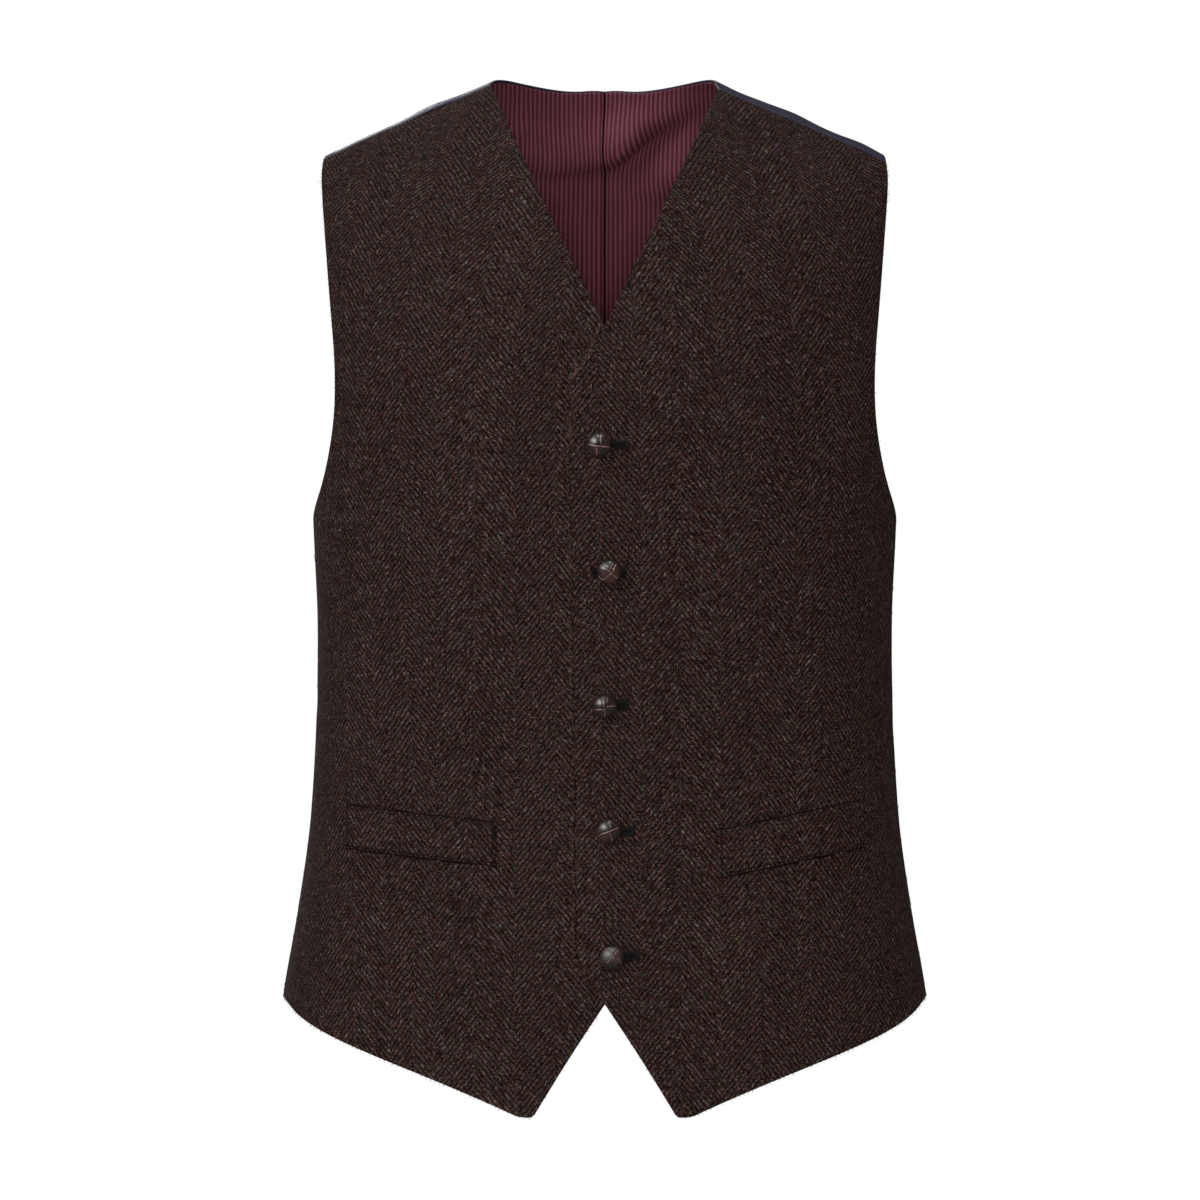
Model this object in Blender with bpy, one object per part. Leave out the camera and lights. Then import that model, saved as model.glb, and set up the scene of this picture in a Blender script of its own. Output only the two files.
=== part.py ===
"""Single-breasted suit waistcoat, filled out as worn and hollow inside.

Metres, +Z up. The front faces -Y and +X is the wearer's left. The origin lies midway between
the tops of the two shoulders, where the wearer carries the garment.

All cloth follows one torso. A place on it has a turn, the angle from the centre front (0) round
to the centre back (180), and a rise, the height along the cloth. Up to the chest line the rise
is the level itself. Above it the cloth rolls over the shoulder and the rise follows that roll,
so it is 0 on the shoulder ridge and more than 0 past it.
"""
import math

import bmesh
import bpy
import numpy as np
from mathutils import Vector

QUARTER = math.pi / 2
LEFT = 1
RIGHT = -1
FRONT = -1
BACK = 1
# Step of turn or rise over which slopes are measured
SLOPE_STEP = 1e-4
# Angle from which an edge of a solid shows as sharp
SHARP_ANGLE = math.radians(50)
# Distance under which two points of a turned solid are one
WELD = 1e-6

# Torso, as half rings. A level is a height below the shoulder tops.
RING_COLUMNS = ("level", "half_width", "front_depth", "back_depth")
RINGS = (
    (-0.660, 0.2150, 0.1330, 0.1260),
    (-0.570, 0.2020, 0.1300, 0.1230),
    (-0.520, 0.1932, 0.1270, 0.1190),
    (-0.460, 0.1852, 0.1230, 0.1120),
    (-0.365, 0.1812, 0.1210, 0.1020),
    (-0.280, 0.1838, 0.1280, 0.1120),
    (-0.190, 0.1880, 0.1300, 0.1200),
)
CHEST = -0.190
RING_SQUARENESS = 2.4
# Power of the cosine by which the depth falls away up to the ridge: 1 is an ellipse
FRONT_FALL = 1.25
BACK_FALL = 1.05

# Shoulder ridge as seen from the front, which goes on as a round top over the neck opening
RIDGE_TOP = 0.026
RIDGE_SLOPE = 0.45
RIDGE_ROUNDING = 0.016

# Cloth walls, from the outside in
TWEED_THICKNESS = 0.0020
SATIN_THICKNESS = 0.0012
LINING_THICKNESS = 0.0010
LINING_GAP = 0.0005
SEAM_GAP = 0.0003

# Lap of the left front over the right front, which lifts it off the torso near the middle
LAP_LIFT = 0.0025
LAP_FULL_TO = 0.026
LAP_GONE_AT = 0.066

# Edges of the pattern pieces. The rounding is the length of edge that a corner takes on each
# side, and the line is the grid line of the panel that meets the edge there. Necklines and
# armholes end on the shoulder seam, whose end isn't in their tables.
EDGE_COLUMNS = ("across", "up", "rounding", "line")
CORNER_STEPS = 6
# Length of cloth in a degree of turn, for edges given in turns
METRES_A_DEGREE = 0.0028
# Cutaway, front edge and neckline, as x and level seen from the front
FRONT_EDGE = (
    (0.0483, -0.6465, 0.000, 0),
    (0.0447, -0.6470, 0.003, 0.5),
    (0.0230, -0.6115, 0.020, 2.5),
    (-0.0171, -0.5510, 0.008, 5.5),
    (-0.0184, -0.3890, 0.080, 13.5),
    (-0.0215, -0.1930, 0.004, 23),
    (-0.0030, -0.1640, 0.016, 25),
    (0.0470, -0.0610, 0.050, 31),
)
# Hem of a front, as turn in degrees and rise
FRONT_HEM = (
    (20.2, -0.6465, 0.000, 0),
    (22.3, -0.6465, 0.003, 0.5),
    (79.5, -0.5790, 0.010, 12.5),
    (94.0, -0.5725, 0.000, 16),
)
# Side seam and armhole of a front
SIDE_TURN = 94.0
FRONT_ARMHOLE = (
    (SIDE_TURN, -0.5725, 0.000, 0),
    (SIDE_TURN, -0.2790, 0.000, 15),
    (83.5, -0.2740, 0.030, 16.6),
    (72.3, -0.2510, 0.030, 19),
    (66.3, -0.2000, 0.060, 22),
    (70.5, -0.1300, 0.060, 26.5),
    (74.0, -0.0600, 0.060, 31.5),
)
FRONT_ROWS = 35

# Edges of a back: hem, centre seam with the neck, and armhole
BACK_HEM = (
    (SIDE_TURN, -0.5725, 0.000, 0),
    (140.0, -0.5690, 0.100, 9),
    (180.0, -0.5680, 0.000, 16),
)
BACK_CENTRE = (
    (180.0, -0.5680, 0.000, 0),
    (180.0, -0.0630, 0.000, 22),
    (168.5, -0.0590, 0.020, 23),
    (156.5, -0.0380, 0.030, 25),
    (149.5, -0.0080, 0.020, 27),
)
BACK_ARMHOLE = (
    (SIDE_TURN, -0.5725, 0.000, 0),
    (SIDE_TURN, -0.2790, 0.000, 12),
    (103.5, -0.2745, 0.030, 13.5),
    (112.0, -0.2450, 0.040, 15.5),
    (114.5, -0.1800, 0.060, 18.5),
    (109.0, -0.0800, 0.060, 23.5),
)
BACK_ROWS = 28
NECK_LINE = 22
PANEL_COLUMNS = 16
LINING_SETBACK = 0.0025

# Shoulder seams, forward of the ridge, between the neck and the shoulder's end
NECK_HALF_WIDTH = 0.0719
SHOULDER_HALF_WIDTH = 0.1778
SEAM_RISE = {LEFT: -0.0285, RIGHT: -0.020}

# Soft folds and darts. The length and width are half sizes of a smooth bump, and the lean is
# the angle of its long way from upright, towards +X. Columns: face, x, level, lean, length,
# width, depth. A fold fades out round the side within the fade depth.
FOLD_FADE = 0.060
FOLDS = (
    (FRONT, 0.118, -0.470, 0, 0.130, 0.012, -0.0012),
    (FRONT, -0.118, -0.470, 0, 0.130, 0.012, -0.0012),
    (FRONT, 0.110, -0.090, 30, 0.060, 0.020, 0.0015),
    (FRONT, -0.112, -0.085, -32, 0.065, 0.020, 0.0018),
    (FRONT, -0.052, -0.350, 4, 0.090, 0.016, -0.0015),
    (FRONT, 0.140, -0.300, -50, 0.050, 0.016, -0.0014),
    (FRONT, -0.140, -0.305, 52, 0.050, 0.016, -0.0012),
    (BACK, 0.040, -0.030, 64, 0.045, 0.012, -0.0020),
    (BACK, -0.030, -0.052, 82, 0.040, 0.012, -0.0020),
    (BACK, 0.085, -0.230, 30, 0.070, 0.020, -0.0022),
    (BACK, -0.080, -0.220, -34, 0.070, 0.020, -0.0022),
    (BACK, 0.060, -0.385, 78, 0.060, 0.015, -0.0025),
    (BACK, -0.065, -0.400, -80, 0.065, 0.015, -0.0025),
    (BACK, 0.110, -0.430, 66, 0.050, 0.014, -0.0020),
    (BACK, -0.100, -0.350, -62, 0.055, 0.016, -0.0020),
    (BACK, 0.085, -0.500, -8, 0.060, 0.020, 0.0022),
    (BACK, -0.080, -0.490, 10, 0.065, 0.020, 0.0022),
)

# Pocket welts, as x and level seen from the front. Columns: name, side, then x, top and bottom
# of the inner end, then x, top and bottom of the outer end.
WELTS = (
    ("pocket_welt_left", LEFT, 0.0700, -0.4700, -0.4990, 0.1615, -0.4515, -0.4805),
    ("pocket_welt_right", RIGHT, 0.0675, -0.4650, -0.4915, 0.1610, -0.4550, -0.4815),
)
WELT_THICKNESS = 0.0012
WELT_GAP = 0.0006
WELT_COLUMNS = 10
WELT_ROWS = 3

# Buttons on the left front, as x and level
BUTTONS = (
    (-0.0035, -0.2313),
    (0.0026, -0.3091),
    (0.0002, -0.3930),
    (0.0026, -0.4702),
    (0.0045, -0.5485),
)
BUTTON_RADIUS = 0.00755
BUTTON_CROWN = 0.0062
BUTTON_RIM = 0.0014
BUTTON_BASE_SHARE = 0.88
BUTTON_STAND = 0.0012
SHANK_RADIUS = 0.0016
SHANK_HOLE_RADIUS = 0.0021
BUTTON_SIDES = 14
CROWN_RINGS = 5
HOLE_SIDES = 10

TWEED = ("tweed", (0.030, 0.018, 0.016), 0.90, 0.0)
SATIN = ("navy satin", (0.014, 0.016, 0.030), 0.35, 0.0)
LINING = ("burgundy lining", (0.055, 0.012, 0.018), 0.40, 0.0)
LEATHER = ("brown leather", (0.045, 0.025, 0.020), 0.45, 0.0)


def column(table, names, name):
    """One named column of a table as an array."""
    number = names.index(name)
    return np.array([row[number] for row in table])


def smooth(at, knots, values):
    """Cubic curve through the values, level at both ends and held beyond them."""
    slopes = np.zeros(len(knots))
    slopes[1:-1] = (values[2:] - values[:-2]) / (knots[2:] - knots[:-2])
    at = np.clip(at, knots[0], knots[-1])
    span = np.clip(np.searchsorted(knots, at, side="right") - 1, 0, len(knots) - 2)
    width = knots[span + 1] - knots[span]
    t = (at - knots[span]) / width
    start = values[span] * (1 + 2 * t) * (1 - t) ** 2 + slopes[span] * width * t * (1 - t) ** 2
    end = values[span + 1] * t * t * (3 - 2 * t) + slopes[span + 1] * width * t * t * (t - 1)
    return start + end


def ring(level, name):
    """A size of the torso at a level."""
    return smooth(level, column(RINGS, RING_COLUMNS, "level"), column(RINGS, RING_COLUMNS, name))


def ridge(x):
    """Level of the shoulder ridge at x."""
    return RIDGE_TOP - RIDGE_SLOPE * (np.hypot(x, RIDGE_ROUNDING) - RIDGE_ROUNDING)


def depth_at(x, level, name):
    """How far the torso stands in front of or behind x at a level, before the shoulder roll."""
    share = np.clip(np.abs(x) / ring(level, "half_width"), 0, 1) ** RING_SQUARENESS
    return ring(level, name) * (1 - share) ** (1 / RING_SQUARENESS)


def torso(turn, rise):
    """Points of the smooth torso."""
    level = np.minimum(rise, CHEST)
    in_front = np.cos(turn) >= 0
    own_depth = np.where(in_front, ring(level, "front_depth"), ring(level, "back_depth"))
    across = (np.abs(np.sin(turn)) / ring(level, "half_width")) ** RING_SQUARENESS
    along = (np.abs(np.cos(turn)) / own_depth) ** RING_SQUARENESS
    reach = (across + along) ** (-1 / RING_SQUARENESS)
    x = reach * np.sin(turn)
    roll = np.maximum(rise - CHEST, 0) / -CHEST * QUARTER
    past_ridge = roll > QUARTER
    far_depth = np.where(in_front, depth_at(x, level, "back_depth"), depth_at(x, level, "front_depth"))
    depth = np.where(past_ridge, far_depth, reach * np.abs(np.cos(turn)))
    on_front = in_front != past_ridge
    fall = np.where(on_front, FRONT_FALL, BACK_FALL)
    y = np.where(on_front, FRONT, BACK) * depth * np.abs(np.cos(roll)) ** fall
    z = level + (ridge(x) - CHEST) * np.sin(roll)
    return np.stack([x, y, z], axis=-1)


def place(x, level, face=FRONT):
    """Turn and rise of the torso's point that shows at x and level from the front or back."""
    low = np.minimum(level, CHEST)
    depth = depth_at(x, low, "front_depth" if face == FRONT else "back_depth")
    turn = np.arctan2(x, -face * depth)
    height = np.clip((level - CHEST) / (ridge(x) - CHEST), 0, 1)
    rise = np.where(level > CHEST, CHEST - CHEST * np.arcsin(height) / QUARTER, level)
    return turn, rise


def normals(surface, turn, rise):
    """Outward unit normals of a surface function."""
    around = surface(turn + SLOPE_STEP, rise) - surface(turn - SLOPE_STEP, rise)
    upward = surface(turn, rise + SLOPE_STEP) - surface(turn, rise - SLOPE_STEP)
    outward = np.cross(around, upward)
    return outward / np.linalg.norm(outward, axis=-1, keepdims=True)


def relief(points):
    """Height of the folds above the smooth torso."""
    height = np.zeros(points.shape[:-1])
    for face, x, level, lean, length, width, depth in FOLDS:
        angle = math.radians(lean)
        along = (points[..., 0] - x) * math.sin(angle) + (points[..., 2] - level) * math.cos(angle)
        across = (points[..., 0] - x) * math.cos(angle) - (points[..., 2] - level) * math.sin(angle)
        facing = np.clip(0.5 + face * points[..., 1] / FOLD_FADE, 0, 1)
        height += depth * facing * np.exp(-(along / length) ** 2 - (across / width) ** 2)
    return height


def folded(turn, rise):
    """Points of the torso with its folds."""
    points = torso(turn, rise)
    return points + normals(torso, turn, rise) * relief(points)[..., None]


def lap(x):
    """Lift of the left front above the torso."""
    t = np.clip((LAP_GONE_AT - x) / (LAP_GONE_AT - LAP_FULL_TO), 0, 1)
    return LAP_LIFT * t * t * (3 - 2 * t)


def cloth(turn, rise, out, laps=False):
    """Points a distance out from the folded torso, and over the lap where a panel has one."""
    points = folded(turn, rise)
    if laps:
        out = out + lap(points[..., 0])
    return points + normals(folded, turn, rise) * np.asarray(out)[..., None]


def rounded(table):
    """Run of points along an edge table with its corners rounded, and each row's place on it."""
    corners = np.stack([column(table, EDGE_COLUMNS, "across"), column(table, EDGE_COLUMNS, "up")], axis=-1)
    roundings = column(table, EDGE_COLUMNS, "rounding")
    in_turns = np.ptp(corners[:, 0]) > 1
    scale = np.array([METRES_A_DEGREE if in_turns else 1.0, 1.0])
    run = [corners[0]]
    marks = [0]
    for before, corner, after, rounding in zip(corners, corners[1:], corners[2:], roundings[1:]):
        ends = []
        for other in (before, after):
            length = np.linalg.norm((other - corner) * scale)
            ends.append(corner + (other - corner) * min(rounding / length, 0.5))
        for step in range(CORNER_STEPS + 1):
            t = step / CORNER_STEPS
            run.append(ends[0] * (1 - t) ** 2 + corner * 2 * t * (1 - t) + ends[1] * t * t)
        marks.append(len(run) - 1 - CORNER_STEPS // 2)
    run.append(corners[-1])
    marks.append(len(run) - 1)
    run = np.array(run)
    passed = np.concatenate([[0], np.cumsum(np.linalg.norm(np.diff(run * scale, axis=0), axis=1))])
    return run, passed, passed[marks]


def edge(table, lines, seam_end=None):
    """An edge's points at whole grid lines, closed by the end of a seam if there is one."""
    if seam_end is not None:
        table = table + ((*seam_end, 0.0, lines),)
    run, passed, marks = rounded(table)
    stations = np.interp(np.arange(lines + 1), column(table, EDGE_COLUMNS, "line"), marks)
    return np.stack([np.interp(stations, passed, run[:, axis]) for axis in (0, 1)], axis=-1)


def in_radians(points):
    """Turn in degrees and rise as turn in radians and rise."""
    return np.stack([np.radians(points[..., 0]), points[..., 1]], axis=-1)


def in_degrees(point):
    """Turn in radians and rise as turn in degrees and rise."""
    return math.degrees(point[0]), point[1]


def patch(bottom, top, left, right):
    """Grid of turn and rise that four edges span, rows going up."""
    across = np.linspace(0, 1, len(bottom))[None, :, None]
    up = np.linspace(0, 1, len(left))[:, None, None]
    ruled = (1 - across) * left[:, None] + across * right[:, None]
    ruled = ruled + (1 - up) * bottom[None] + up * top[None]
    low = (1 - across) * bottom[0] + across * bottom[-1]
    high = (1 - across) * top[0] + across * top[-1]
    return ruled - (1 - up) * low - up * high


def pull_in(grid, line, inward, distance):
    """Move one edge line of a grid towards its neighbour by a real distance."""
    gap = np.linalg.norm(torso(grid[inward][..., 0], grid[inward][..., 1])
                         - torso(grid[line][..., 0], grid[line][..., 1]), axis=-1)
    grid[line] = grid[line] + (grid[inward] - grid[line]) * (distance / gap)[..., None]


def to_side(grid, side):
    """A grid on the wearer's left, or its mirror on the right with its faces still out."""
    if side == LEFT:
        return grid
    mirrored = grid[:, ::-1].copy()
    mirrored[..., 0] *= -1
    return mirrored


def shoulder_seam(face, side, columns):
    """Shoulder seam of the panel on one face, from the neck to the shoulder's end."""
    x = np.linspace(NECK_HALF_WIDTH, SHOULDER_HALF_WIDTH, columns + 1)
    depth = depth_at(x, CHEST, "front_depth" if face == FRONT else "back_depth")
    rise = -face * SEAM_RISE[side]
    return np.stack([np.arctan2(x, -face * depth), np.full_like(x, rise)], axis=-1)


def front_grid(side):
    """Grid of a front before it is mirrored: columns from the front edge to the side."""
    top = shoulder_seam(FRONT, side, PANEL_COLUMNS)
    neck_point = torso(*top[0])
    seen = edge(FRONT_EDGE, FRONT_ROWS, (neck_point[0], neck_point[2]))
    left = np.stack(place(seen[:, 0], seen[:, 1]), axis=-1)
    right = in_radians(edge(FRONT_ARMHOLE, FRONT_ROWS, in_degrees(top[-1])))
    bottom = in_radians(edge(FRONT_HEM, PANEL_COLUMNS))
    bottom[0] = left[0]
    grid = patch(bottom, top, left, right)
    pull_in(grid, np.s_[:, -1], np.s_[:, -2], SEAM_GAP / 2)
    pull_in(grid, np.s_[-1], np.s_[-2], SEAM_GAP / 2)
    return grid


def back_grid(side):
    """Grid of a back before it is mirrored: columns from the side to the centre seam and neck."""
    top = shoulder_seam(BACK, side, PANEL_COLUMNS)[::-1]
    left = in_radians(edge(BACK_ARMHOLE, BACK_ROWS, in_degrees(top[0])))
    right = in_radians(edge(BACK_CENTRE, BACK_ROWS, in_degrees(top[-1])))
    bottom = in_radians(edge(BACK_HEM, PANEL_COLUMNS))
    grid = patch(bottom, top, left, right)
    pull_in(grid, np.s_[:, 0], np.s_[:, 1], SEAM_GAP / 2)
    pull_in(grid, np.s_[:NECK_LINE + 1, -1], np.s_[:NECK_LINE + 1, -2], SEAM_GAP / 2)
    pull_in(grid, np.s_[-1], np.s_[-2], SEAM_GAP / 2)
    return grid


def material(look):
    """Principled material from a name, colour, roughness and metallic value."""
    name, colour, roughness, metallic = look
    made = bpy.data.materials.get(name) or bpy.data.materials.new(name)
    made.use_nodes = True
    shader = made.node_tree.nodes["Principled BSDF"]
    shader.inputs["Base Color"].default_value = (*colour, 1.0)
    shader.inputs["Roughness"].default_value = roughness
    shader.inputs["Metallic"].default_value = metallic
    return made


def add_object(name, mesh, look):
    """Link a mesh as a named object with its material."""
    mesh.materials.append(material(look))
    mesh.shade_smooth()
    mesh.set_sharp_from_angle(angle=SHARP_ANGLE)
    made = bpy.data.objects.new(name, mesh)
    bpy.context.scene.collection.objects.link(made)
    return made


def add_wall(name, outer, inner, look):
    """Closed wall between an outer and an inner grid of points."""
    rows, columns = outer.shape[:2]
    number = np.arange(rows * columns).reshape(rows, columns)
    behind = number + rows * columns
    faces = []
    for row in range(rows - 1):
        for col in range(columns - 1):
            corners = ((row, col), (row, col + 1), (row + 1, col + 1), (row + 1, col))
            faces.append([number[corner] for corner in corners])
            faces.append([behind[corner] for corner in corners[:1] + corners[:0:-1]])
    rim = [(0, col) for col in range(columns)]
    rim += [(row, columns - 1) for row in range(1, rows)]
    rim += [(rows - 1, col) for col in range(columns - 2, -1, -1)]
    rim += [(row, 0) for row in range(rows - 2, 0, -1)]
    for here, there in zip(rim, rim[1:] + rim[:1]):
        faces.append([number[there], number[here], behind[here], behind[there]])
    mesh = bpy.data.meshes.new(name)
    points = np.concatenate([outer.reshape(-1, 3), inner.reshape(-1, 3)])
    mesh.from_pydata(points.tolist(), [], [[int(corner) for corner in face] for face in faces])
    return add_object(name, mesh, look)


def add_panel(name, grid, outside, thickness, look, laps=False):
    """Cloth wall on a grid, its outer face a distance out from the torso."""
    turn, rise = grid[..., 0], grid[..., 1]
    outer = cloth(turn, rise, outside, laps)
    inner = cloth(turn, rise, outside - thickness, laps)
    return add_wall(name, outer, inner, look)


def make_fronts():
    """The left front laps over the right one."""
    over = add_panel("front_left", to_side(front_grid(LEFT), LEFT), 0.0, TWEED_THICKNESS, TWEED, True)
    add_panel("front_right", to_side(front_grid(RIGHT), RIGHT), 0.0, TWEED_THICKNESS, TWEED)
    return over


def make_backs():
    """Satin backs and, inside them, their linings."""
    for side, suffix in ((LEFT, "left"), (RIGHT, "right")):
        grid = back_grid(side)
        inside = grid.copy()
        pull_in(inside, np.s_[:, 0], np.s_[:, 1], SEAM_GAP)
        pull_in(inside, np.s_[-1], np.s_[-2], SEAM_GAP)
        pull_in(inside, np.s_[NECK_LINE + 1:, -1], np.s_[NECK_LINE + 1:, -2], LINING_SETBACK)
        pull_in(inside, np.s_[NECK_LINE, -1:], np.s_[NECK_LINE - 1, -1:], LINING_SETBACK)
        add_panel("back_" + suffix, to_side(grid, side), 0.0, SATIN_THICKNESS, SATIN)
        outside = -SATIN_THICKNESS - LINING_GAP
        add_panel("lining_" + suffix, to_side(inside, side), outside, LINING_THICKNESS, LINING)


def make_welts():
    """Pocket welts that lie on the fronts."""
    for name, side, inner_x, inner_top, inner_bottom, outer_x, outer_top, outer_bottom in WELTS:
        across = np.linspace(0, 1, WELT_COLUMNS + 1)[None]
        up = np.linspace(0, 1, WELT_ROWS + 1)[:, None]
        x = inner_x + (outer_x - inner_x) * across + 0 * up
        top = inner_top + (outer_top - inner_top) * across
        bottom = inner_bottom + (outer_bottom - inner_bottom) * across
        grid = np.stack(place(x, bottom + (top - bottom) * up), axis=-1)
        outside = WELT_GAP + WELT_THICKNESS
        add_panel(name, to_side(grid, side), outside, WELT_THICKNESS, TWEED, laps=side == LEFT)


def turned_profile(stand, reach):
    """Radius and height of a button, from the end of its shank to its crown."""
    profile = [(0, -reach), (SHANK_RADIUS, -reach), (SHANK_RADIUS, stand)]
    profile.append((BUTTON_RADIUS * BUTTON_BASE_SHARE, stand))
    profile.append((BUTTON_RADIUS, stand + BUTTON_RIM))
    for number in range(1, CROWN_RINGS + 1):
        angle = QUARTER * number / CROWN_RINGS
        height = stand + BUTTON_RIM + BUTTON_CROWN * math.sin(angle)
        profile.append((BUTTON_RADIUS * math.cos(angle) if number < CROWN_RINGS else 0, height))
    return profile


def turned_mesh(name, profile, sides):
    """Closed solid turned about Z."""
    shape = bmesh.new()
    points = [shape.verts.new((radius, 0, height)) for radius, height in profile]
    edges = [shape.edges.new(pair) for pair in zip(points, points[1:])]
    bmesh.ops.spin(shape, geom=points + edges, cent=(0, 0, 0), axis=(0, 0, 1),
                   angle=2 * math.pi, steps=sides, use_merge=True, use_duplicate=False)
    bmesh.ops.remove_doubles(shape, verts=shape.verts, dist=WELD)
    bmesh.ops.recalc_face_normals(shape, faces=shape.faces)
    mesh = bpy.data.meshes.new(name)
    shape.to_mesh(mesh)
    shape.free()
    return mesh


def turn_and_place(made, facing, foot):
    """Stand a turned solid at its foot on the cloth."""
    made.rotation_mode = "QUATERNION"
    made.rotation_quaternion = facing
    made.location = foot


def make_buttons(over):
    """Shank buttons in a row, each through its hole in the left front."""
    profile = turned_profile(BUTTON_STAND, LAP_LIFT - SEAM_GAP)
    hole_end = -(LAP_LIFT + TWEED_THICKNESS) / 2
    hole = [(0, hole_end), (SHANK_HOLE_RADIUS, hole_end),
            (SHANK_HOLE_RADIUS, BUTTON_STAND), (0, BUTTON_STAND)]
    for number, (x, level) in enumerate(BUTTONS, start=1):
        turn, rise = place(np.array(x), np.array(level))
        foot = Vector(cloth(turn, rise, 0.0, laps=True))
        outward = Vector(normals(folded, turn, rise))
        facing = outward.to_track_quat("Z", "Y")
        name = "button_%d" % number
        button = add_object(name, turned_mesh(name, profile, BUTTON_SIDES), LEATHER)
        turn_and_place(button, facing, foot)
        cutter = add_object(name + "_hole", turned_mesh(name + "_hole", hole, HOLE_SIDES), LEATHER)
        turn_and_place(cutter, facing, foot)
        cutter.hide_render = True
        cutter.display_type = "WIRE"
        cut = over.modifiers.new(name + "_hole", "BOOLEAN")
        cut.operation = "DIFFERENCE"
        cut.solver = "EXACT"
        cut.object = cutter


def main():
    for old in list(bpy.data.objects):
        bpy.data.objects.remove(old, do_unlink=True)
    over = make_fronts()
    make_backs()
    make_welts()
    make_buttons(over)


main()
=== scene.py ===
"""Looks of the suit waistcoat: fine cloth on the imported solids, buttons, sewing, light and camera.

The garment's surface is worked out as in its solids. A place on it has a turn, the angle from
the centre front (0) round to the centre back (180), and a rise, the height along the cloth. Up
to the chest line the rise is the level itself. Above it the cloth rolls over the shoulder.
Metres, +Z up. The front faces -Y and +X is the wearer's left.
"""
import math

import bpy
import numpy as np
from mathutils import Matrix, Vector


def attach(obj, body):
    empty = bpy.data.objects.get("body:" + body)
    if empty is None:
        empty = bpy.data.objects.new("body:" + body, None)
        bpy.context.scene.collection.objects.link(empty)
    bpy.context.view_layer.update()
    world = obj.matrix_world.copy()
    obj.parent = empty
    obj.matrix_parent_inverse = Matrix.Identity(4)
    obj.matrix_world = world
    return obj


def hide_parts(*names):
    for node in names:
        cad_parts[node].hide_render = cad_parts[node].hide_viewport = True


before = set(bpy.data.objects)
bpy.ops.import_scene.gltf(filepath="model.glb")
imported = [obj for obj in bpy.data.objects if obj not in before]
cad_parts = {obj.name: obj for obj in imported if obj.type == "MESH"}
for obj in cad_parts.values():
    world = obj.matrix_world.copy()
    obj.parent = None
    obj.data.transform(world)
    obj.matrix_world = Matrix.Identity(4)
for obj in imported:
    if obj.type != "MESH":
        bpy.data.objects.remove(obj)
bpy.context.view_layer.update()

QUARTER = math.pi / 2
LEFT = 1
RIGHT = -1
FRONT = -1
BACK = 1
SIDES = ((LEFT, "left"), (RIGHT, "right"))
# Step of turn or rise over which slopes are measured
SLOPE_STEP = 1e-4

# Torso, as half rings: level, half width, and depth in front and behind. A level is a height below
# the shoulder tops.
RING_LEVELS, HALF_WIDTHS, FRONT_DEPTHS, BACK_DEPTHS = np.transpose((
    (-0.660, 0.2150, 0.1330, 0.1260),
    (-0.570, 0.2020, 0.1300, 0.1230),
    (-0.520, 0.1932, 0.1270, 0.1190),
    (-0.460, 0.1852, 0.1230, 0.1120),
    (-0.365, 0.1812, 0.1210, 0.1020),
    (-0.280, 0.1838, 0.1280, 0.1120),
    (-0.190, 0.1880, 0.1300, 0.1200),
))
DEPTHS = {FRONT: FRONT_DEPTHS, BACK: BACK_DEPTHS}
LOWEST_RISE = -0.660
# Points at which lengths of cloth round the torso and up it are measured
GIRTH_POINTS = 33
HEIGHT_POINTS = 49
CHEST = -0.190
RING_SQUARENESS = 2.4
# Power of the cosine by which the depth falls away up to the ridge
FRONT_FALL = 1.25
BACK_FALL = 1.05
RIDGE_TOP = 0.026
RIDGE_SLOPE = 0.45
RIDGE_ROUNDING = 0.016

# Cloth walls, from the outside in
TWEED_THICKNESS = 0.0020
SATIN_THICKNESS = 0.0012
LINING_THICKNESS = 0.0010
LINING_GAP = 0.0005

# Lap of the left front over the right front
LAP_LIFT = 0.0025
LAP_FULL_TO = 0.026
LAP_GONE_AT = 0.066

# Edges of the pattern pieces: two coordinates, the length of edge that rounds the corner on each
# side, and the grid line of the panel that meets the edge there
CORNER_STEPS = 16
# Length of cloth to a degree of turn, near enough to round corners
METRES_A_DEGREE = 0.0028
# Factors that bring a turn in degrees and a rise to a turn in radians and a rise
IN_RADIANS = np.array([math.radians(1), 1.0])
# Cutaway, front edge and neckline, as x and level seen from the front
FRONT_EDGE = (
    (0.0483, -0.6465, 0.000, 0),
    (0.0447, -0.6470, 0.003, 0.5),
    (0.0230, -0.6115, 0.020, 2.5),
    (-0.0171, -0.5510, 0.008, 5.5),
    (-0.0184, -0.3890, 0.080, 13.5),
    (-0.0215, -0.1930, 0.004, 23),
    (-0.0030, -0.1640, 0.016, 25),
    (0.0470, -0.0610, 0.050, 31),
)
# The other edges, as turn in degrees and rise
FRONT_HEM = (
    (20.2, -0.6465, 0.000, 0),
    (22.3, -0.6465, 0.003, 0.5),
    (79.5, -0.5790, 0.010, 12.5),
    (94.0, -0.5725, 0.000, 16),
)
SIDE_TURN = 94.0
FRONT_ARMHOLE = (
    (SIDE_TURN, -0.5725, 0.000, 0),
    (SIDE_TURN, -0.2790, 0.000, 15),
    (83.5, -0.2740, 0.030, 16.6),
    (72.3, -0.2510, 0.030, 19),
    (66.3, -0.2000, 0.060, 22),
    (70.5, -0.1300, 0.060, 26.5),
    (74.0, -0.0600, 0.060, 31.5),
)
FRONT_ROWS = 35
BACK_HEM = (
    (SIDE_TURN, -0.5725, 0.000, 0),
    (140.0, -0.5690, 0.100, 9),
    (180.0, -0.5680, 0.000, 16),
)
BACK_CENTRE = (
    (180.0, -0.5680, 0.000, 0),
    (180.0, -0.0630, 0.000, 22),
    (168.5, -0.0590, 0.020, 23),
    (156.5, -0.0380, 0.030, 25),
    (149.5, -0.0080, 0.020, 27),
)
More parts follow.
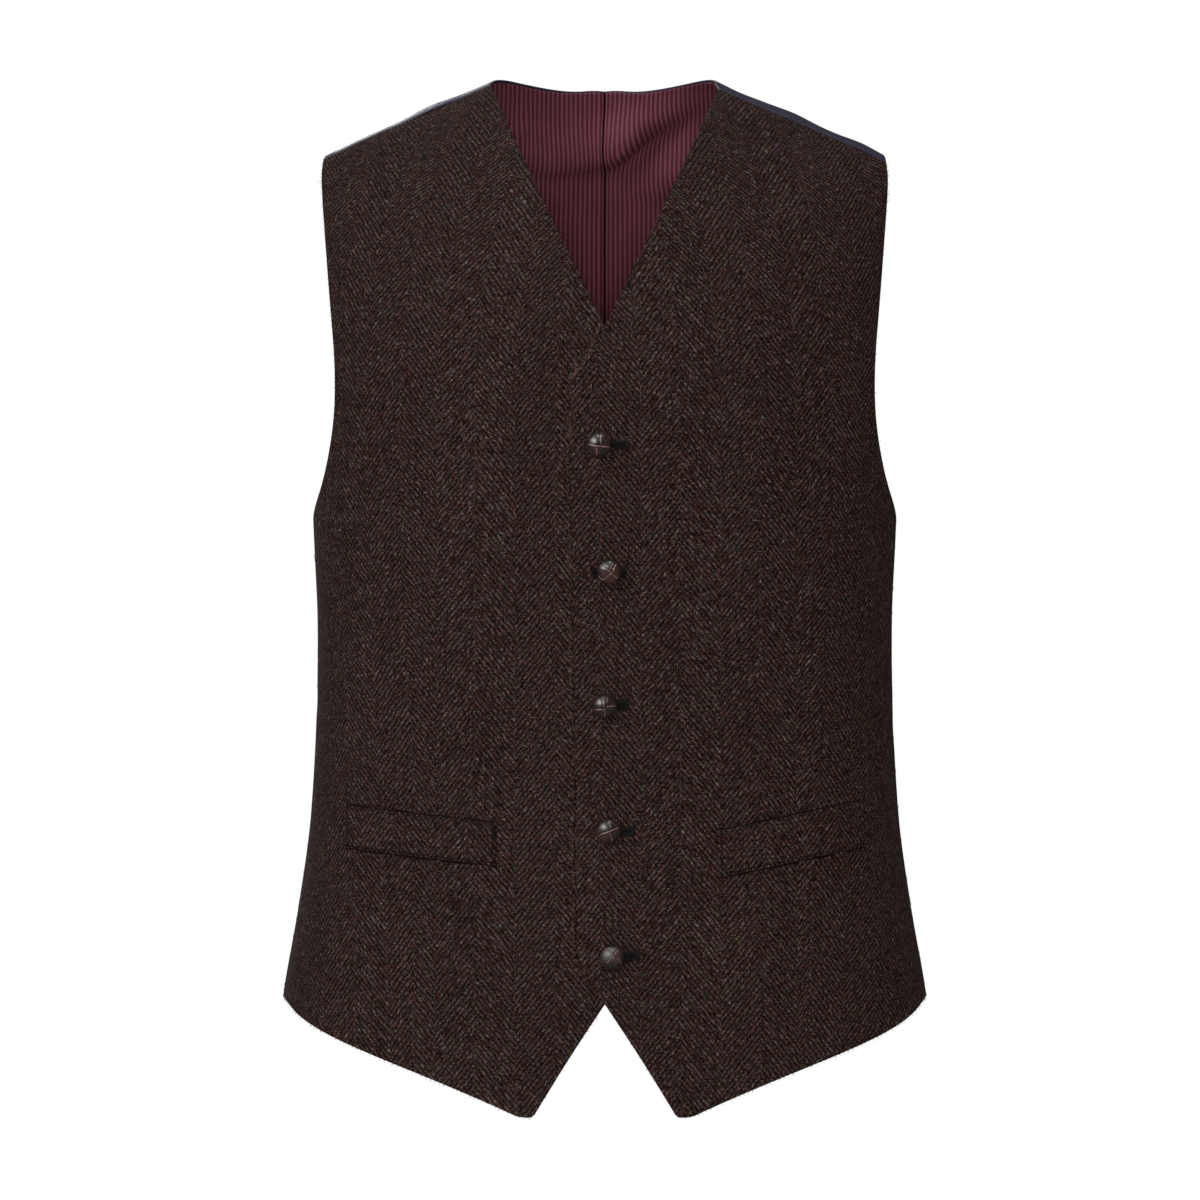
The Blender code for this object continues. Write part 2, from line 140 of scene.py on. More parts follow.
BACK_ARMHOLE = (
    (SIDE_TURN, -0.5725, 0.000, 0),
    (SIDE_TURN, -0.2790, 0.000, 12),
    (103.5, -0.2745, 0.030, 13.5),
    (112.0, -0.2450, 0.040, 15.5),
    (114.5, -0.1800, 0.060, 18.5),
    (109.0, -0.0800, 0.060, 23.5),
)
BACK_ROWS = 28
NECK_LINE = 22
PANEL_COLUMNS = 16
# Sizes of the panels, near enough to place the rows that round their edges
PANEL_WIDTH = 0.25
FRONT_HEIGHT = 0.60
BACK_HEIGHT = 0.55
# How far the lining's neck edge is drawn back from the satin's, and the part of the grid that moves
LINING_SETBACK = {LEFT: 0.0004, RIGHT: 0.0010}
SETBACK_ROWS = 6
SETBACK_COLUMNS = 12
NECK_HALF_WIDTH = 0.0719
SHOULDER_HALF_WIDTH = 0.1778
SEAM_RISE = {LEFT: -0.0285, RIGHT: -0.020}

# Soft folds and darts: face, x, level, lean, length, width, depth. The length and width are half
# sizes of a smooth bump, and the lean is the angle of its long way from upright, towards +X.
FOLD_FADE = 0.060
FOLDS = (
    (FRONT, 0.118, -0.470, 0, 0.130, 0.012, -0.0012),
    (FRONT, -0.118, -0.470, 0, 0.130, 0.012, -0.0012),
    (FRONT, 0.110, -0.090, 30, 0.060, 0.020, 0.0015),
    (FRONT, -0.112, -0.085, -32, 0.065, 0.020, 0.0018),
    (FRONT, -0.052, -0.350, 4, 0.090, 0.016, -0.0015),
    (FRONT, 0.140, -0.300, -50, 0.050, 0.016, -0.0014),
    (FRONT, -0.140, -0.305, 52, 0.050, 0.016, -0.0012),
    (BACK, 0.040, -0.030, 64, 0.045, 0.012, -0.0020),
    (BACK, -0.030, -0.052, 82, 0.040, 0.012, -0.0020),
    (BACK, 0.085, -0.230, 30, 0.070, 0.020, -0.0022),
    (BACK, -0.080, -0.220, -34, 0.070, 0.020, -0.0022),
    (BACK, 0.060, -0.385, 78, 0.060, 0.015, -0.0025),
    (BACK, -0.065, -0.400, -80, 0.065, 0.015, -0.0025),
    (BACK, 0.110, -0.430, 66, 0.050, 0.014, -0.0020),
    (BACK, -0.100, -0.350, -62, 0.055, 0.016, -0.0020),
    (BACK, 0.085, -0.500, -8, 0.060, 0.020, 0.0022),
    (BACK, -0.080, -0.490, 10, 0.065, 0.020, 0.0022),
)

# Slighter folds of the fine cloth, in the same columns
CREASES = (
    (FRONT, -0.0262, -0.3750, 0, 0.060, 0.0060, -0.0010),
    (FRONT, -0.0700, -0.2600, 22, 0.060, 0.0100, 0.0007),
    (FRONT, 0.0800, -0.1700, -28, 0.060, 0.0110, 0.0008),
    (FRONT, 0.0350, -0.4300, 8, 0.070, 0.0110, -0.0007),
    (FRONT, -0.1050, -0.3700, -12, 0.080, 0.0110, -0.0008),
    (FRONT, 0.1000, -0.3600, 10, 0.080, 0.0110, -0.0008),
    (FRONT, -0.0800, -0.5500, -16, 0.050, 0.0120, 0.0008),
    (FRONT, 0.0900, -0.5450, 18, 0.050, 0.0120, 0.0009),
    (FRONT, 0.1550, -0.4000, -72, 0.030, 0.0080, -0.0010),
    (FRONT, -0.1600, -0.3850, 74, 0.030, 0.0080, -0.0009),
    (BACK, 0.0300, -0.1500, 74, 0.055, 0.0080, -0.0009),
    (BACK, -0.0450, -0.2900, -70, 0.050, 0.0085, -0.0010),
    (BACK, 0.0250, -0.4600, -78, 0.045, 0.0075, -0.0010),
    (BACK, -0.1200, -0.4500, -60, 0.040, 0.0085, -0.0010),
    (BACK, 0.1350, -0.3400, 58, 0.040, 0.0085, -0.0010),
    (BACK, -0.0300, -0.5200, 6, 0.040, 0.0110, 0.0010),
    (BACK, 0.0290, -0.0335, 63, 0.034, 0.0090, 0.0070),
    (BACK, 0.0270, -0.0600, 66, 0.045, 0.0240, 0.0030),
    (FRONT, -0.1180, -0.0800, -42, 0.045, 0.0140, 0.0016),
    (FRONT, 0.1220, -0.0900, 40, 0.045, 0.0140, 0.0012),
)
# Folds of the lining alone, behind the neck, in the same columns. It hangs free this far down, and
# a fold droops by this share of its depth.
LINING_LOOSE_BELOW = 0.028
LINING_DROOP = 0.45
LINING_FOLDS = (
    (BACK, 0.0320, -0.0130, 64, 0.040, 0.0110, -0.0105),
    (BACK, 0.0110, -0.0310, 38, 0.018, 0.0085, -0.0075),
    (BACK, 0.0420, -0.0540, 68, 0.028, 0.0110, -0.0065),
    (BACK, -0.0310, -0.0390, 88, 0.034, 0.0100, -0.0085),
    (BACK, -0.0280, -0.0680, 84, 0.034, 0.0100, -0.0025),
    (BACK, -0.0560, -0.0260, 20, 0.020, 0.0060, -0.0022),
)
# Puffs of the satin alone, over the shoulders and down the back, in the same columns
SATIN_FOLDS = (
    (BACK, -0.1100, -0.0170, -65, 0.046, 0.0130, 0.0036),
    (BACK, 0.1190, -0.0205, 65, 0.016, 0.0130, 0.0026),
    (BACK, 0.1620, -0.0400, 65, 0.014, 0.0120, 0.0026),
    (BACK, 0.0840, -0.0060, 65, 0.012, 0.0100, -0.0012),
    (BACK, 0.0720, -0.1300, 48, 0.060, 0.0110, 0.0036),
    (BACK, -0.0820, -0.1180, -44, 0.065, 0.0120, 0.0042),
    (BACK, -0.0250, -0.1850, -62, 0.045, 0.0090, 0.0026),
    (BACK, 0.1260, -0.2150, 20, 0.060, 0.0120, 0.0034),
    (BACK, -0.1250, -0.2450, -16, 0.065, 0.0120, 0.0034),
    (BACK, 0.0480, -0.3350, -68, 0.055, 0.0095, 0.0036),
    (BACK, -0.0600, -0.3420, 72, 0.060, 0.0100, 0.0040),
    (BACK, 0.0980, -0.3800, 74, 0.050, 0.0085, 0.0030),
    (BACK, -0.1080, -0.3950, -70, 0.050, 0.0090, 0.0032),
    (BACK, 0.0280, -0.4250, 62, 0.042, 0.0085, 0.0028),
    (BACK, -0.0260, -0.5300, -14, 0.050, 0.0130, 0.0034),
    (BACK, 0.1180, -0.5350, 10, 0.055, 0.0140, 0.0036),
)

# Cells of the fine cloth to a grid cell of the solids, and rows that round a cloth's edge
FINE = 5
EDGE_STEPS = (0.0003, 0.0008, 0.0016)
EDGE_ROUNDING = 0.0014
# A shell's face in the picture that its materials are baked to
BAKE_SHARE = (0.485, 0.98)
BAKE_MARGIN = (0.0075, 0.01)

# Pocket welts, as x and level: side, then x, top and bottom of the inner end and the outer end
WELTS = (
    (LEFT, "left", 0.0700, -0.4700, -0.4990, 0.1615, -0.4515, -0.4805),
    (RIGHT, "right", 0.0675, -0.4650, -0.4915, 0.1610, -0.4550, -0.4815),
)
WELT_THICKNESS = 0.0012
WELT_GAP = 0.0006
WELT_CELLS = (60, 20)
WELT_SIZE = (0.094, 0.029)

# Herringbone: width of a column, spacing of the twill lines, and yarns to a line
COLUMN_WIDTH = 0.0250
TWILL_ACROSS = 0.00355
TWILL_UP = 0.00430
YARNS = 4
YARN_WIDTH = TWILL_ACROSS / YARNS
# Share of a yarn's width by which its floats lean off the twill line
YARN_PULL = 0.5
# Length of a fibre, and of a stretch of one colour, along a twill line
FIBRE_LENGTH = 0.0012
LOT_LENGTH = 0.0042
# Where the first column starts on each front, as a distance from the centre front
FIRST_COLUMN = {LEFT: -0.0025, RIGHT: 0.0315}
# Shift of a welt's columns against those of its front
WELT_OFFSET = 0.004
# The columns lean towards the neck above the chest, by this much for a metre squared
COLUMN_LEAN = 0.8
LEAN_FROM = -0.215
# A dart takes cloth in at this distance from the centre front, below its point
DART_AT = {LEFT: 0.1260, RIGHT: 0.1210}
DART_POINT = -0.302
DART_SLOPE = 0.070

# Spacing of the lining's stripes and threads, and of the satin's warp
LINING_STRIPE = 0.0031
LINING_THREAD = 0.0009
SATIN_WARP = 0.0007
# Share of a painted highlight on the pressed fold beside the lining's centre seam
PAINTED_FOLD_HIGHLIGHT = {LEFT: 0.5, RIGHT: 0.0}
FACING_WIDTH = 0.075

# Buttons: x and level
BUTTONS = ((-0.0035, -0.2313), (0.0026, -0.3091), (0.0002, -0.3930), (0.0026, -0.4702), (0.0045, -0.5485))
BUTTON_SECTORS = 144
BUTTON_RINGS = 46
BUTTON_RADIUS = 0.00755
BUTTON_CROWN = 0.0062
BUTTON_RIM = 0.0014
BUTTON_BASE_SHARE = 0.88
# Rounded foot of the crown: share of the radius, and height above the base
BUTTON_CHAMFER = (0.97, 0.0005)
BUTTON_STAND = 0.0012
SHANK_RADIUS = 0.0016
# Edges of the plaited leather on each button: the side that steps down, as 1 for the left of the
# edge or -1 for the right, the share of a full lip, and the points of the edge in button radii
STRAP_EDGES = (
    (
        (1, 1.0, ((-0.96, 0.10), (-0.22, -0.08), (0.95, -0.18))),
        (-1, 1.0, ((0.07, 0.93), (0.17, 0.02))),
        (1, 0.9, ((-0.20, -0.16), (-0.20, -0.93))),
    ),
    (
        (1, 1.0, ((-0.70, 0.68), (0.10, 0.07), (0.76, -0.58))),
        (1, 0.8, ((0.30, 0.90), (0.03, 0.22))),
        (-1, 1.0, ((0.62, 0.74), (0.25, 0.06))),
        (1, 0.45, ((-0.90, -0.30), (-0.68, -0.55), (-0.43, -0.60), (-0.07, -0.22))),
    ),
    (
        (-1, 1.0, ((-0.24, 0.92), (-0.12, -0.12))),
        (1, 0.6, ((0.08, 0.88), (0.06, 0.42))),
        (1, 0.8, ((-0.95, -0.27), (-0.16, -0.24))),
        (-1, 0.9, ((0.03, -0.03), (0.95, 0.09))),
        (1, 0.7, ((0.00, -0.28), (-0.06, -0.95))),
    ),
    (
        (1, 1.0, ((-0.91, -0.36), (0.15, 0.01), (0.93, 0.32))),
        (-1, 0.9, ((-0.06, 0.93), (0.15, 0.14))),
        (1, 0.7, ((0.06, -0.12), (0.28, -0.90))),
    ),
    (
        (-1, 1.0, ((-0.50, -0.50), (0.17, 0.28), (0.60, 0.76))),
        (1, 0.8, ((-0.62, 0.74), (-0.24, 0.77), (0.13, 0.40))),
        (1, 0.7, ((0.38, 0.05), (0.78, -0.48))),
    ),
)
# Reddish places on each button: x, y and size in button radii
RED_PLACES = (
    ((-0.20, -0.60, 0.22),),
    ((0.45, 0.30, 0.32), (0.10, -0.60, 0.50), (0.55, -0.30, 0.30), (-0.40, -0.20, 0.30)),
    ((-0.10, 0.40, 0.16), (0.85, 0.10, 0.20)),
    ((-0.50, -0.60, 0.42), (-0.95, 0.00, 0.20)),
    ((0.45, -0.15, 0.25), (-0.75, 0.75, 0.25)),
)
# Added roughness of each button's worn leather
DULLNESS = (0.02, 0.0, 0.0, 0.05, 0.22)
LIP_RADIUS = 0.00031
LEATHER_STEP = 0.00042
STEP_WIDTH = 0.00030
STEP_REACH = 0.0026
GROOVE_DEPTH = 0.00045
GROOVE_WIDTH = 0.00032
# Distance of a groove from its edge, in groove widths
GROOVE_OFF = 1.4

# Buttonholes, from each button's middle: ends, height of the middle, and half height
HOLES = (
    (-0.0030, 0.0182, 0.0000, 0.0028),
    (-0.0104, 0.0101, -0.0010, 0.0034),
    (-0.0030, 0.0146, 0.0012, 0.0034),
    (-0.0030, 0.0154, 0.0000, 0.0034),
    (-0.0030, 0.0164, 0.0009, 0.0030),
)
STITCH_SPACING = 0.00072
THREAD_RADIUS = 0.00027
PURL_HEIGHT = 0.0008
BAR_STITCHES = 4
STITCH_LIFT = 0.0001
# Unevenness of the stitches: sideways shift, and shares of the half height that purls and bars reach
STITCH_SHIFT = 0.0001
PURL_REACH = (0.80, 1.08)
BAR_REACH = (0.92, 1.08)
# Distance between the bar's threads in thread radii
BAR_PITCH = 1.6
SLIT_HALF_HEIGHT = 0.0003
SLIT_RADIUS = 0.0005

# Painted shadow as dark lines at each pocket's mouth, under each welt and beside the lap's edge: lift off
# the cloth, radius, distance from a welt's edge, and unevenness
LINE_LIFT = 0.0003
SEAM_SHADOW_RADIUS = 0.00066
SEAM_SHADOW_OFF = 0.0004
SEAM_SHADOW_WAVER = 0.00035
LAP_SHADOW_RADIUS = 0.00062
LAP_SHADOW_SETBACK = 0.0072

# Fibres: lift off the cloth, then of each kind the number on a front, lengths and radii
FIBRE_LIFT = 0.00015
FAINT_FIBRES = (320, (0.0012, 0.0045), (0.00005, 0.00009))
BRIGHT_FIBRES = (26, (0.0012, 0.0026), (0.00012, 0.00017))
BROWN_FIBRES = (260, (0.0015, 0.0045), (0.00008, 0.00014))
EDGE_FIBRES = (900, (0.0010, 0.0022), (0.00004, 0.00007))
# Pale fuzz on the left front's edge, from the cutaway to the neckline, partly a painted highlight of the lit
# edge: its span as shares of the grid's lines, width, number and sizes
LAP_SPAN = (5.5 / FRONT_ROWS, 25 / FRONT_ROWS)
LAP_WIDTH = 0.0030
LAP_FIBRES = 1100
LAP_SIZES = ((0.0008, 0.0022), (0.00005, 0.00009))
# Dark fibres that paint the shadow of that edge on the right front beside it: its reach as a turn, lift,
# number and sizes
SHADE_REACH = 0.017
SHADE_LIFT = 0.0001
SHADE_FIBRES = 560
SHADE_SIZES = ((0.0014, 0.0034), (0.00011, 0.00020))
# Bunches of more pale fuzz that paint a highlight where the edge catches the light: width, then share of the
# length, spread of that, and number
HIGHLIGHT_BUNCH_WIDTH = 0.0016
LAP_BUNCHES = ((0.660, 0.003, 80), (0.680, 0.013, 60), (0.617, 0.006, 50))

CAMERA_AT = (-0.003, -6.0, -0.327)
CAMERA_LENS = 285.12
ROOM_LIGHT = 0.19
ROOM_GLOSS = 0.05
FLOOR_LEVEL = -1.40
FLOOR_RADIUS = 10.0
FLOOR_SIDES = 96
# Light boxes: name, place, width, height, power, and the kind of ray that doesn't see the box. The
# key is on the upper left, and the window shows only in reflections.
MIDDLE = (0.0, 0.0, -0.32)
LIGHTS = (
    ("key", (-2.8, -3.1, 2.1), 2.7, 1.8, 112.0, None),
    ("front", (-0.003, -5.6, -0.3), 0.6, 0.6, 90.0, "glossy"),
    ("right", (2.6, -3.6, 0.5), 2.0, 2.0, 29.0, "glossy"),
    ("window", (-3.0, -0.9, 2.1), 3.0, 3.0, 46.0, "diffuse"),
    ("top", (0.2, -0.15, 3.1), 0.9, 0.4, 34.0, None),
    ("back", (-1.6, 4.4, 1.2), 1.6, 1.6, 50.0, None),
)

seeded = np.random.RandomState(7)


# Surface of the garment

def unit(vectors):
    """Vectors of length 1."""
    return vectors / np.linalg.norm(vectors, axis=-1, keepdims=True)


def smooth(at, knots, values):
    """Cubic curve through the values, level at both ends and held beyond them."""
    slopes = np.zeros(len(knots))
    slopes[1:-1] = (values[2:] - values[:-2]) / (knots[2:] - knots[:-2])
    at = np.clip(at, knots[0], knots[-1])
    span = np.clip(np.searchsorted(knots, at, side="right") - 1, 0, len(knots) - 2)
    width = knots[span + 1] - knots[span]
    t = (at - knots[span]) / width
    start = values[span] * (1 + 2 * t) * (1 - t) ** 2 + slopes[span] * width * t * (1 - t) ** 2
    end = values[span + 1] * t * t * (3 - 2 * t) + slopes[span + 1] * width * t * t * (t - 1)
    return start + end


def ring(level, sizes):
    """A size of the torso at a level."""
    return smooth(level, RING_LEVELS, sizes)


def ridge(x):
    """Level of the shoulder ridge at x."""
    return RIDGE_TOP - RIDGE_SLOPE * (np.hypot(x, RIDGE_ROUNDING) - RIDGE_ROUNDING)


def depth_at(x, level, face):
    """How far the torso stands in front of or behind x at a level, before the shoulder roll."""
    share = np.clip(np.abs(x) / ring(level, HALF_WIDTHS), 0, 1) ** RING_SQUARENESS
    return ring(level, DEPTHS[face]) * (1 - share) ** (1 / RING_SQUARENESS)


def torso(turn, rise):
    """Points of the smooth torso."""
    level = np.minimum(rise, CHEST)
    in_front = np.cos(turn) >= 0
    own_depth = np.where(in_front, ring(level, DEPTHS[FRONT]), ring(level, DEPTHS[BACK]))
    across = (np.abs(np.sin(turn)) / ring(level, HALF_WIDTHS)) ** RING_SQUARENESS
    along = (np.abs(np.cos(turn)) / own_depth) ** RING_SQUARENESS
    reach = (across + along) ** (-1 / RING_SQUARENESS)
    x = reach * np.sin(turn)
    roll = np.maximum(rise - CHEST, 0) / -CHEST * QUARTER
    past_ridge = roll > QUARTER
    far_depth = np.where(in_front, depth_at(x, level, BACK), depth_at(x, level, FRONT))
    depth = np.where(past_ridge, far_depth, reach * np.abs(np.cos(turn)))
    on_front_face = in_front != past_ridge
    fall = np.where(on_front_face, FRONT_FALL, BACK_FALL)
    y = np.where(on_front_face, FRONT, BACK) * depth * np.abs(np.cos(roll)) ** fall
    z = level + (ridge(x) - CHEST) * np.sin(roll)
    return np.stack([x, y, z], axis=-1)


def place(x, level, face=FRONT):
    """Turn and rise of the torso's point that shows at x and level from the front or back."""
    turn = np.arctan2(x, -face * depth_at(x, np.minimum(level, CHEST), face))
    height = np.clip((level - CHEST) / (ridge(x) - CHEST), 0, 1)
    rise = np.where(level > CHEST, CHEST - CHEST * np.arcsin(height) / QUARTER, level)
    return turn, rise


def normals(surface, turn, rise):
    """Outward unit normals of a surface function."""
    around = surface(turn + SLOPE_STEP, rise) - surface(turn - SLOPE_STEP, rise)
    upward = surface(turn, rise + SLOPE_STEP) - surface(turn, rise - SLOPE_STEP)
    return unit(np.cross(around, upward))


def relief(points, folds):
    """Height of folds above the smooth torso."""
    height = np.zeros(points.shape[:-1])
    for face, x, level, lean, length, width, depth in folds:
        angle = math.radians(lean)
        along = (points[..., 0] - x) * math.sin(angle) + (points[..., 2] - level) * math.cos(angle)
        across = (points[..., 0] - x) * math.cos(angle) - (points[..., 2] - level) * math.sin(angle)
        facing = np.clip(0.5 + face * points[..., 1] / FOLD_FADE, 0, 1)
        height += depth * facing * np.exp(-(along / length) ** 2 - (across / width) ** 2)
    return height


def folded(turn, rise, folds=FOLDS + CREASES):
    """Points of the torso with its folds."""
    points = torso(turn, rise)
    return points + normals(torso, turn, rise) * relief(points, folds)[..., None]


def folded_lining(turn, rise):
    """Points of the torso with the folds of its cloth and of the lining."""
    points = torso(turn, rise)
    free = np.clip(-points[..., 2] / LINING_LOOSE_BELOW, 0, 1) ** 1.5
    loose = free * relief(points, LINING_FOLDS)
    made = points + normals(torso, turn, rise) * (relief(points, FOLDS + CREASES) + loose)[..., None]
    made[..., 2] += LINING_DROOP * loose
    return made


def folded_satin(turn, rise):
    """Points of the torso with the folds of its cloth and the puffs of the satin."""
    return folded(turn, rise, FOLDS + CREASES + SATIN_FOLDS)


def lap(x):
    """Lift of the left front above the torso."""
    t = np.clip((LAP_GONE_AT - x) / (LAP_GONE_AT - LAP_FULL_TO), 0, 1)
    return LAP_LIFT * t * t * (3 - 2 * t)


def on_front(side, turn, rise, lift):
    """Points that stand off a front's cloth, and the way out of the cloth at each."""
    points = folded(turn, rise)
    outs = normals(folded, turn, rise)
    if side == LEFT:
        lift = lift + lap(points[..., 0])
    return points + outs * np.asarray(lift)[..., None], outs


# Pattern pieces

def rounded(table):
    """Run of points along an edge table with its corners rounded, and each row's place on it."""
    across, up, roundings, _ = np.transpose(table)
    corners = np.stack([across, up], axis=-1)
    in_turns = np.ptp(across) > 1
    scale = np.array([METRES_A_DEGREE if in_turns else 1.0, 1.0])
    run = [corners[0]]
    marks = [0]
    for before, corner, after, rounding in zip(corners, corners[1:], corners[2:], roundings[1:]):
        ends = []
        for other in (before, after):
            length = np.linalg.norm((other - corner) * scale)
            ends.append(corner + (other - corner) * min(rounding / length, 0.5))
        for step in range(CORNER_STEPS + 1):
            t = step / CORNER_STEPS
            run.append(ends[0] * (1 - t) ** 2 + corner * 2 * t * (1 - t) + ends[1] * t * t)
        marks.append(len(run) - 1 - CORNER_STEPS // 2)
    run.append(corners[-1])
    marks.append(len(run) - 1)
    run = np.array(run)
    passed = np.concatenate([[0], np.cumsum(np.linalg.norm(np.diff(run * scale, axis=0), axis=1))])
    return run, passed, passed[marks]


def edge(table, shares, lines, seam_end=None):
    """An edge's points at shares of its grid lines, closed by the end of a seam if there is one."""
    if seam_end is not None:
        table = table + ((*seam_end, 0.0, lines),)
    run, passed, marks = rounded(table)
    stations = np.interp(shares * lines, np.transpose(table)[3], marks)
    return np.stack([np.interp(stations, passed, run[:, axis]) for axis in (0, 1)], axis=-1)


def patch(bottom, top, left, right, across, up):
    """Grid of turn and rise that four edges span, rows going up."""
    across = across[None, :, None]
    up = up[:, None, None]
    ruled = (1 - across) * left[:, None] + across * right[:, None]
    ruled = ruled + (1 - up) * bottom[None] + up * top[None]
    low = (1 - across) * bottom[0] + across * bottom[-1]
    high = (1 - across) * top[0] + across * top[-1]
    return ruled - (1 - up) * low - up * high


def shares_of(cell_count, size):
    """Even shares of a panel, with a few more close to its two edges to round them."""
    near = np.array(EDGE_STEPS) / size
    inner = np.linspace(0, 1, cell_count + 1)[1:-1]
    return np.concatenate([[0], near, inner, 1 - near[::-1], [1]])


def shoulder_seam(face, side, shares):
    """Shoulder seam of the panel on one face, from the neck to the shoulder's end."""
    x = NECK_HALF_WIDTH + (SHOULDER_HALF_WIDTH - NECK_HALF_WIDTH) * shares
    turn = np.arctan2(x, -face * depth_at(x, CHEST, face))
    return np.stack([turn, np.full_like(x, -face * SEAM_RISE[side])], axis=-1)


def front_grid(side):
    """Turn and rise of a front, on the wearer's left: columns from the front edge to the side."""
    across = shares_of(PANEL_COLUMNS * FINE, PANEL_WIDTH)
    up = shares_of(FRONT_ROWS * FINE, FRONT_HEIGHT)
    top = shoulder_seam(FRONT, side, across)
    neck_point = torso(*top[0])
    seen = edge(FRONT_EDGE, up, FRONT_ROWS, neck_point[[0, 2]])
    left = np.stack(place(seen[:, 0], seen[:, 1]), axis=-1)
    right = edge(FRONT_ARMHOLE, up, FRONT_ROWS, top[-1] / IN_RADIANS) * IN_RADIANS
    bottom = edge(FRONT_HEM, across, PANEL_COLUMNS) * IN_RADIANS
    bottom[0] = left[0]
    return patch(bottom, top, left, right, across, up)


def back_grid(side):
    """Turn and rise of a back: columns from the side to the centre seam and neck."""
    across = shares_of(PANEL_COLUMNS * FINE, PANEL_WIDTH)
    up = shares_of(BACK_ROWS * FINE, BACK_HEIGHT)
    top = shoulder_seam(BACK, side, across[::-1])
    left = edge(BACK_ARMHOLE, up, BACK_ROWS, top[0] / IN_RADIANS) * IN_RADIANS
    right = edge(BACK_CENTRE, up, BACK_ROWS, top[-1] / IN_RADIANS) * IN_RADIANS
    bottom = edge(BACK_HEM, across, PANEL_COLUMNS) * IN_RADIANS
    return patch(bottom, top, left, right, across, up)


def set_back(grid, amount):
    """A back's grid with the neck edge drawn back, so that the satin shows as a thin edge."""
    rows, columns = grid.shape[:2]
    first = round(rows * NECK_LINE / BACK_ROWS)
    fade = np.clip((np.arange(rows) - first) / SETBACK_ROWS, 0, 1)
    inner = grid[:, -SETBACK_COLUMNS]
    reach = np.linalg.norm(torso(inner[:, 0], inner[:, 1]) - torso(grid[:, -1, 0], grid[:, -1, 1]), axis=-1)
    weights = (fade * amount / reach)[:, None] * np.linspace(0, 1, columns) ** 6
    return grid + (inner - grid[:, -1])[:, None] * weights[..., None]


def lengths(points, axis):
    """Distance run along one axis of a grid of points."""
    steps = np.linalg.norm(np.diff(points, axis=axis), axis=-1)
    start = np.zeros_like(np.take(steps, [0], axis=axis))
    return np.concatenate([start, np.cumsum(steps, axis=axis)], axis=axis)


def girth(turn, rise, turn_from=0.0):
    """Length of cloth round the torso at one rise, from a turn to each turn."""
    turns = turn_from + (turn - turn_from) * np.linspace(0, 1, GIRTH_POINTS)[:, None, None]
    return np.sign(turn) * lengths(torso(turns, np.broadcast_to(rise, turns.shape)), 0)[-1]


def height(turn, rise):
    """Length of cloth up the torso at one turn, counted from the chest line."""
    rises = LOWEST_RISE + (rise - LOWEST_RISE) * np.linspace(0, 1, HEIGHT_POINTS)[:, None, None]
    return lengths(torso(np.broadcast_to(turn, rises.shape), rises), 0)[-1] + LOWEST_RISE


# Meshes

def linked(name, data):
    """A new object in the scene."""
    made = bpy.data.objects.new(name, data)
    bpy.context.scene.collection.objects.link(made)
    return made


def add_mesh(name, points, faces, materials):
    """Link a smooth mesh as a piece that rides with the garment."""
    mesh = bpy.data.meshes.new(name)
    mesh.from_pydata(points.tolist(), [], faces)
    for material in materials:
        mesh.materials.append(material)
    mesh.shade_smooth()
    made = linked(name, mesh)
    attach(made, "root")
    return made


def add_map(made, name, places):
    """UV map with a place for each point of the mesh."""
    corners = np.empty(len(made.data.loops), np.int32)
    made.data.loops.foreach_get("vertex_index", corners)
    layer = made.data.uv_layers.new(name=name, do_init=False)
    layer.uv.foreach_set("vector", places[corners].astype(np.float32).ravel())


def cells(ids, turned=False):
    """Corners of each cell of a grid of numbers, one way round or the other."""
    quads = np.stack([ids[:-1, :-1], ids[:-1, 1:], ids[1:, 1:], ids[1:, :-1]], axis=-1).reshape(-1, 4)
    return quads[:, ::-1] if turned else quads


def add_bake_map(made, quads, places):
    """UV map of a shell as laid out for a picture: outer face on the left, inner face on the right."""
    outer, inner = (places[ids.ravel()] * BAKE_SHARE + BAKE_MARGIN for ids in quads)
    layer = made.data.uv_layers.new(name="OFBake", do_init=False)
    layer.uv.foreach_set("vector", np.concatenate([outer, inner + (0.5, 0.0)]).astype(np.float32).ravel())


